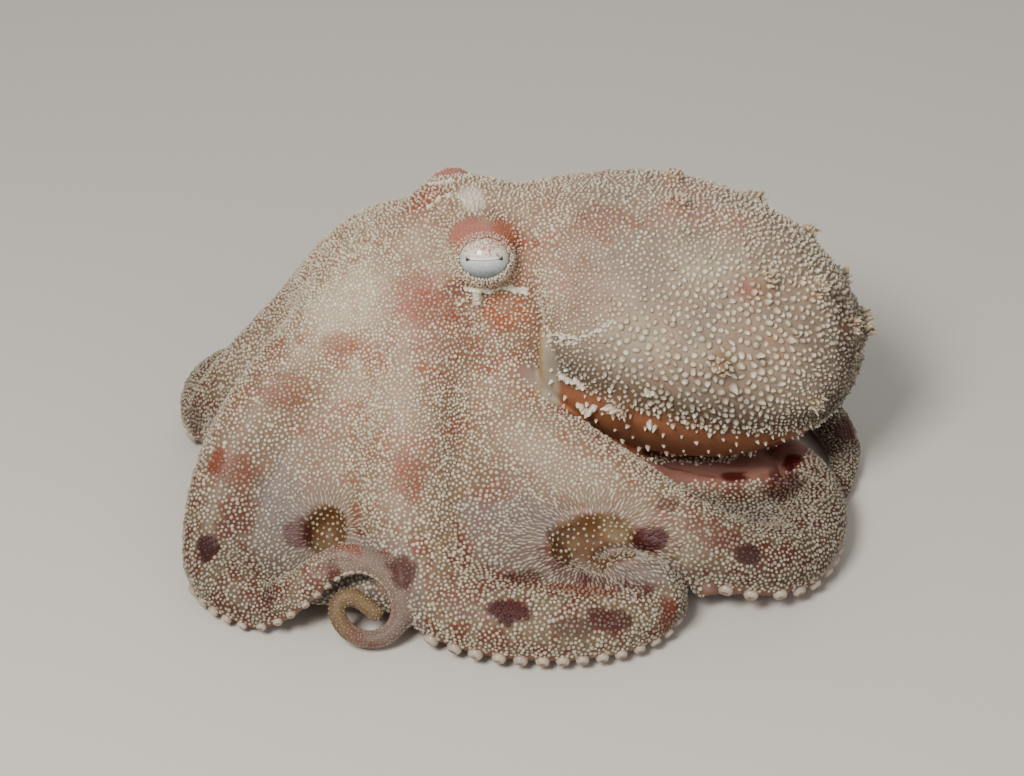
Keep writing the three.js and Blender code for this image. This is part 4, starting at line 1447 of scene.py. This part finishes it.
def coat_lids():
    """Fine pale grains close round the eyes."""
    places, high = [], []
    beads, outward = [], []

    def opening(row, angle):
        """Places across and up on a line `row` times the opening's size."""
        return LIDS["width"] * row * math.cos(angle), LIDS["height"] * row * math.sin(angle) - LIDS["drop"]

    for name, centre in EYE_CENTRES.items():
        out, across, up = eye_frame(name)
        for row in BEAD_ROWS:
            for angle in np.linspace(0.25, math.pi - 0.25, BEADS) + rng.uniform(-0.04, 0.04, BEADS):
                if rng.random() < row:
                    wide, tall = opening(row, angle)
                    depth = math.sqrt(EYE["radius"] ** 2 - wide ** 2 - tall ** 2)
                    outward.append(unit(across * wide + up * tall + out * depth))
                    beads.append(centre + outward[-1] * (EYE["radius"] - 0.06))
        for row, grains in GRAIN_ROWS:
            for angle in np.linspace(0, 2 * math.pi, grains, endpoint=False) + rng.uniform(0, 0.05, grains):
                wide, tall = opening(row, angle)
                depth = math.sqrt(max(0.2, (EYE["radius"] + LIDS["thick"]) ** 2 - wide ** 2 - tall ** 2))
                places.append(centre + across * wide + up * tall + out * depth + rng.normal(0, 0.05, 3))
                high.append(math.sin(angle))
    roots, normals, uv = on_skin(places)
    base, _ = ground(Places(roots, normals))
    count = len(roots)
    size = rng.uniform(0.17, 0.27, count)
    tall = size * rng.uniform(1.0, 2.0, count)
    pale = mix(WHITE, SOFT_PINK, 0.35 * ramp(np.array(high), 0.2, 0.8)[:, None])
    tip = tone(base, pale, rng.uniform(0.6, 1.0, count))
    along = tangents(normals, random_wish(count))
    grow("coat_head_lids", "spike", roots, normals, uv, along, size, size * 0.85, tall, along * 0.3,
         mix(base, tip, 0.4), tip, sides=6, ragged=0.2)
    outward, count = np.array(outward), len(outward)
    size = rng.uniform(0.08, 0.14, count)
    tip = mix(WHITE, SOFT_PINK, 0.8 * rng.random((count, 1)) ** 2)
    along = tangents(outward, random_wish(count))
    grow("coat_head_beads", "dome", np.array(beads), outward, on_skin(beads)[2], along, size, size,
         size * 0.9, outward * 0, tip * 0.8, tip, sides=6, ragged=0.1)


# White crests as the camera sees them: a route in pixels of IMAGE, how many lumps, and their half sizes and
# height in mm.
CRESTS = dict(
    stem=([(477, 288), (477, 303)], 12, (0.8, 0.72), 0.85),
    bar=([(468, 288), (480, 288), (491, 291)], 14, (0.66, 0.42), 0.65),
    strip=([(508, 288), (518, 290), (527, 292)], 14, (0.85, 0.5), 0.6),
    strip_thin=([(494, 289), (507, 287)], 8, (0.5, 0.28), 0.45),
    left_of_stem=([(459, 305), (466, 299), (472, 293)], 7, (0.4, 0.2), 0.4),
    far_strip=([(431, 184), (445, 184), (458, 181), (470, 176)], 24, (0.5, 0.3), 0.6),
    fold=([(545, 335), (556, 333), (566, 337), (580, 338), (592, 333), (604, 327), (612, 321)],
          34, (0.55, 0.24), 0.45),
    fold_low=([(549, 341), (562, 343), (575, 343)], 12, (0.5, 0.22), 0.35),
    hook=([(561, 375), (568, 379), (577, 380), (583, 387)], 12, (0.6, 0.4), 0.7),
    corner=([(580, 405), (587, 412), (594, 407)], 12, (0.8, 0.6), 0.9),
    low_one=([(608, 407), (615, 411)], 5, (0.6, 0.5), 1.0),
    low_two=([(647, 423), (653, 426)], 4, (0.55, 0.5), 0.9),
    low_three=([(646, 391), (653, 394)], 4, (0.55, 0.5), 0.8),
)


def coat_crests():
    places, wishes, sizes, tall = [], [], [], []
    for pixels, count, size, height in CRESTS.values():
        route = [under_pixel(pixel) for pixel in pixels]
        route = np.array([hit[0] for hit in route if hit is not None])
        if len(route) < 2:
            continue
        gone = np.r_[0, np.cumsum(np.linalg.norm(np.diff(route, axis=0), axis=1))]
        for distance in np.linspace(0, gone[-1], count) + rng.uniform(-0.15, 0.15, count):
            place = np.array([np.interp(distance, gone, route[:, i]) for i in range(3)])
            step = int(np.clip(np.searchsorted(gone, distance) - 1, 0, len(route) - 2))
            swell = rng.uniform(0.65, 1.2)
            for side in (1, -1):
                flip = np.array([1, side, 1])
                places.append((place + rng.normal(0, 0.16, 3)) * flip)
                wishes.append((route[step + 1] - route[step] + rng.normal(0, 0.5, 3)) * flip)
                sizes.append(np.array(size) * swell)
                tall.append(height * swell * rng.uniform(0.7, 1.3))
    roots, normals, uv = on_skin(places)
    base, _ = ground(Places(roots, normals))
    sizes, tall = np.array(sizes), np.array(tall)
    along = tangents(normals, np.array(wishes))
    tip = mix(base, mix(CREAM, WHITE, rng.random((len(roots), 1))), 0.92)
    lean = tangents(normals, random_wish(len(roots))) * 0.3
    grow("coat_head_crests", "nodule", roots, normals, uv, along, sizes[:, 0], sizes[:, 1], tall, lean,
         mix(base, tip, 0.55), tip, sides=10, ragged=0.2)


coat_mantle()
coat_warts()
coat_underside()
coat_head()
coat_lids()
coat_arms()
coat_crests()

# ---- Eyes ------------------------------------------------------------------------------------------


EYE_RINGS, EYE_SEGMENTS = 150, 240
PUPIL = dict(half=2.68, line=0.045, ends=0.26, ends_from=2.05, low=-0.42, sag=0.26)  # slit, wide at its ends


def eye_tint(local, side):
    """White and rust above the slit of the pupil, silver below it, painted darker towards the bottom as
    painted shade.
    """
    x, y = local[:, 0] * side, local[:, 1]
    grain = value_noise(local, 0.17, 3) * 0.8 + value_noise(local, 0.5, 5) * 0.2
    tint = np.tile(EYE_WHITE, (len(x), 1))
    tint = blend(tint, EYE_RUST, ramp(grain + mix(-0.22, 0.22, ramp(y, 0.2, 1.9)), 0.0, 0.2) * 0.8)
    # Silver below the slit, with painted shade growing darker towards the bottom of the ball.
    lower = tone(EYE_SILVER, EYE_SHADE_GREY, ramp(-y + 0.4 * grain, 0.6, 3.0))
    tint = blend(tint, lower, ramp(-y, 0.10, 0.35))
    tint = blend(tint, EYE_GREEN, ramp(np.abs(x), 2.5, 3.2) * (0.5 + 0.5 * grain) * 0.8)
    sag = PUPIL["low"] - PUPIL["sag"] * (1 - (x / 2.6) ** 2)
    line = PUPIL["line"] + PUPIL["ends"] * np.clip((np.abs(x) - PUPIL["ends_from"]) / 0.6, 0, 1)
    slit = ramp(line + 0.03 - np.abs(y - sag), 0, 0.05) * (np.abs(x) < PUPIL["half"])
    glint = within(np.abs(y - sag - 0.22), 0.2, 0.1) * (np.abs(x) < 2.0)
    tint = blend(tint, EYE_GLINT, glint * 0.6)
    return blend(tint, EYE_BLACK, slit * mix(0.75, 1, ramp(np.abs(x), 1.9, 2.3)))


def make_eye(name):
    rings, segments = EYE_RINGS, EYE_SEGMENTS
    share = np.linspace(0.004, 0.999, rings)[:, None]
    polar = math.pi * (0.45 * share + 0.55 * share ** 3)
    bearing = np.linspace(0, 2 * math.pi, segments, endpoint=False)[None, :]
    out, across, up = eye_frame(name)
    side = -1 if name == "eye_right" else 1
    level = np.cos(polar) + 0 * bearing
    local = np.stack([np.sin(polar) * np.cos(bearing), np.sin(polar) * np.sin(bearing), level], 2)
    local = local.reshape(-1, 3) * (EYE["radius"] - 0.05)
    points = EYE_CENTRES[name] + local[:, :1] * across + local[:, 1:2] * up + local[:, 2:] * out
    ring, segment = np.meshgrid(np.arange(rings - 1), np.arange(segments), indexing="ij")
    a = (ring * segments + segment).ravel()
    b = (ring * segments + (segment + 1) % segments).ravel()
    quads = np.stack([a, a + segments, b + segments, b], 1)
    ends = [np.arange(segments), (rings - 1) * segments + np.arange(segments)[::-1]]
    caps = np.array([(end[0], end[i + 1], end[i]) for end in ends for i in range(1, segments - 1)])
    triangles = np.vstack([quads[:, [0, 1, 2]], quads[:, [0, 2, 3]], caps[:, [0, 2, 1]]])
    ball = make_mesh(f"fine_{name}", points, triangles)
    set_colours(ball, eye_tint(local, side))
    ball.data.materials.append(wet_eye)
    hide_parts(name)


for eye in EYE_CENTRES:
    make_eye(eye)

# ---- Suckers ---------------------------------------------------------------------------------------

SUCKER_LEAN = 0.98  # radians from straight below the arm
SUCKER_START = 4.0  # mm from the arm's root to its first pair
SUCKER_STEP, SUCKER_STAGGER = 2.5, 1.15  # in radii of a sucker
MOUTH_CLEAR = 5.4  # the suckers' least distance from the middle of the mouth
BURIED = 0.9  # mm of flesh over a root, beyond which the sucker sits on the web's underside instead
SUNK = 0.45  # how deep a sucker's middle lies there
CUP_SIDES = 14
CUP = (  # reach and height of each ring, as shares of the sucker's radius
    (0.0, -0.7), (0.78, -0.6), (1.0, -0.05), (0.98, 0.44),
    (0.76, 0.80), (0.46, 0.86), (0.22, 0.66), (0.0, 0.60))


def make_suckers():
    """Two rows of cups along the underside of every arm."""
    places, ways, sizes = [], [], []
    for arm in arms.values():
        distance = SUCKER_START
        while distance < arm["total"] - 1:
            middle, radius = station_at(arm, distance)
            index = int(np.searchsorted(arm["distance"], distance))
            size = 0.18 * radius + 0.1
            for row, shift in ((-1, 0), (1, size * SUCKER_STAGGER)):
                k = min(len(arm["points"]) - 1, index)
                down, side = -arm["up"][k], arm["side"][k] * row
                way = unit(down * math.cos(SUCKER_LEAN) + side * math.sin(SUCKER_LEAN))
                root = middle + arm["along"][k] * shift + way * (radius - 0.5)
                close = middle + arm["side"][k] * row * min(1.35 * size, 0.83 * radius)
                hit, facing, _, _ = tree.ray_cast(Vector((close[0], close[1], -5)), Vector((0, 0, 1)))
                buried = tree.find_nearest(Vector(root))[3] > BURIED
                if buried and hit is not None and 1.2 < hit[2] < root[2] - 0.6:
                    root, way = np.array(hit) - np.array(facing) * SUNK, np.array(facing)
                from_mouth = np.hypot(root[0] - MOUTH[0], root[1] - MOUTH[1])
                if root[2] > size * 0.7 and from_mouth > MOUTH_CLEAR:
                    places.append(root)
                    ways.append(way)
                    sizes.append(size)
            distance += size * SUCKER_STEP
    places, ways, sizes = np.array(places), np.array(ways), np.array(sizes)
    angle = np.linspace(0, 2 * math.pi, CUP_SIDES, endpoint=False)
    along = tangents(ways, np.tile([0.2, 0.1, 1.0], (len(ways), 1)))
    across = np.cross(ways, along)
    cosine, sine = np.cos(angle)[None, :, None], np.sin(angle)[None, :, None]
    rows = []
    for reach, height in CUP:
        spread = cosine * along[:, None] + sine * across[:, None]
        rows.append(places[:, None] + (spread * reach + ways[:, None] * height) * sizes[:, None, None])
    points = np.concatenate(rows, 1)
    faces = repeated(np.array(bands(len(CUP), CUP_SIDES)), len(places), len(CUP) * CUP_SIDES)
    flat = points.reshape(-1, 3)
    depth = np.repeat(np.array([height for _, height in CUP]), CUP_SIDES)
    inner = np.repeat(np.array([0, 0, 0, 0, 0, 1, 1, 1]), CUP_SIDES)
    tint = np.tile(CUP_CREAM, (len(flat), 1))
    tint = blend(tint, CUP_TAN, np.tile(inner * 0.6 + (depth < 0) * 0.7, len(places)))
    tint = tint * (1 + 0.16 * value_noise(flat, 1.1, 8))[:, None]
    cups = make_mesh("suckers", flat, faces)
    set_colours(cups, tint)
    cups.data.materials.append(sucker_skin)
    print("suckers", len(places), len(faces))


make_suckers()
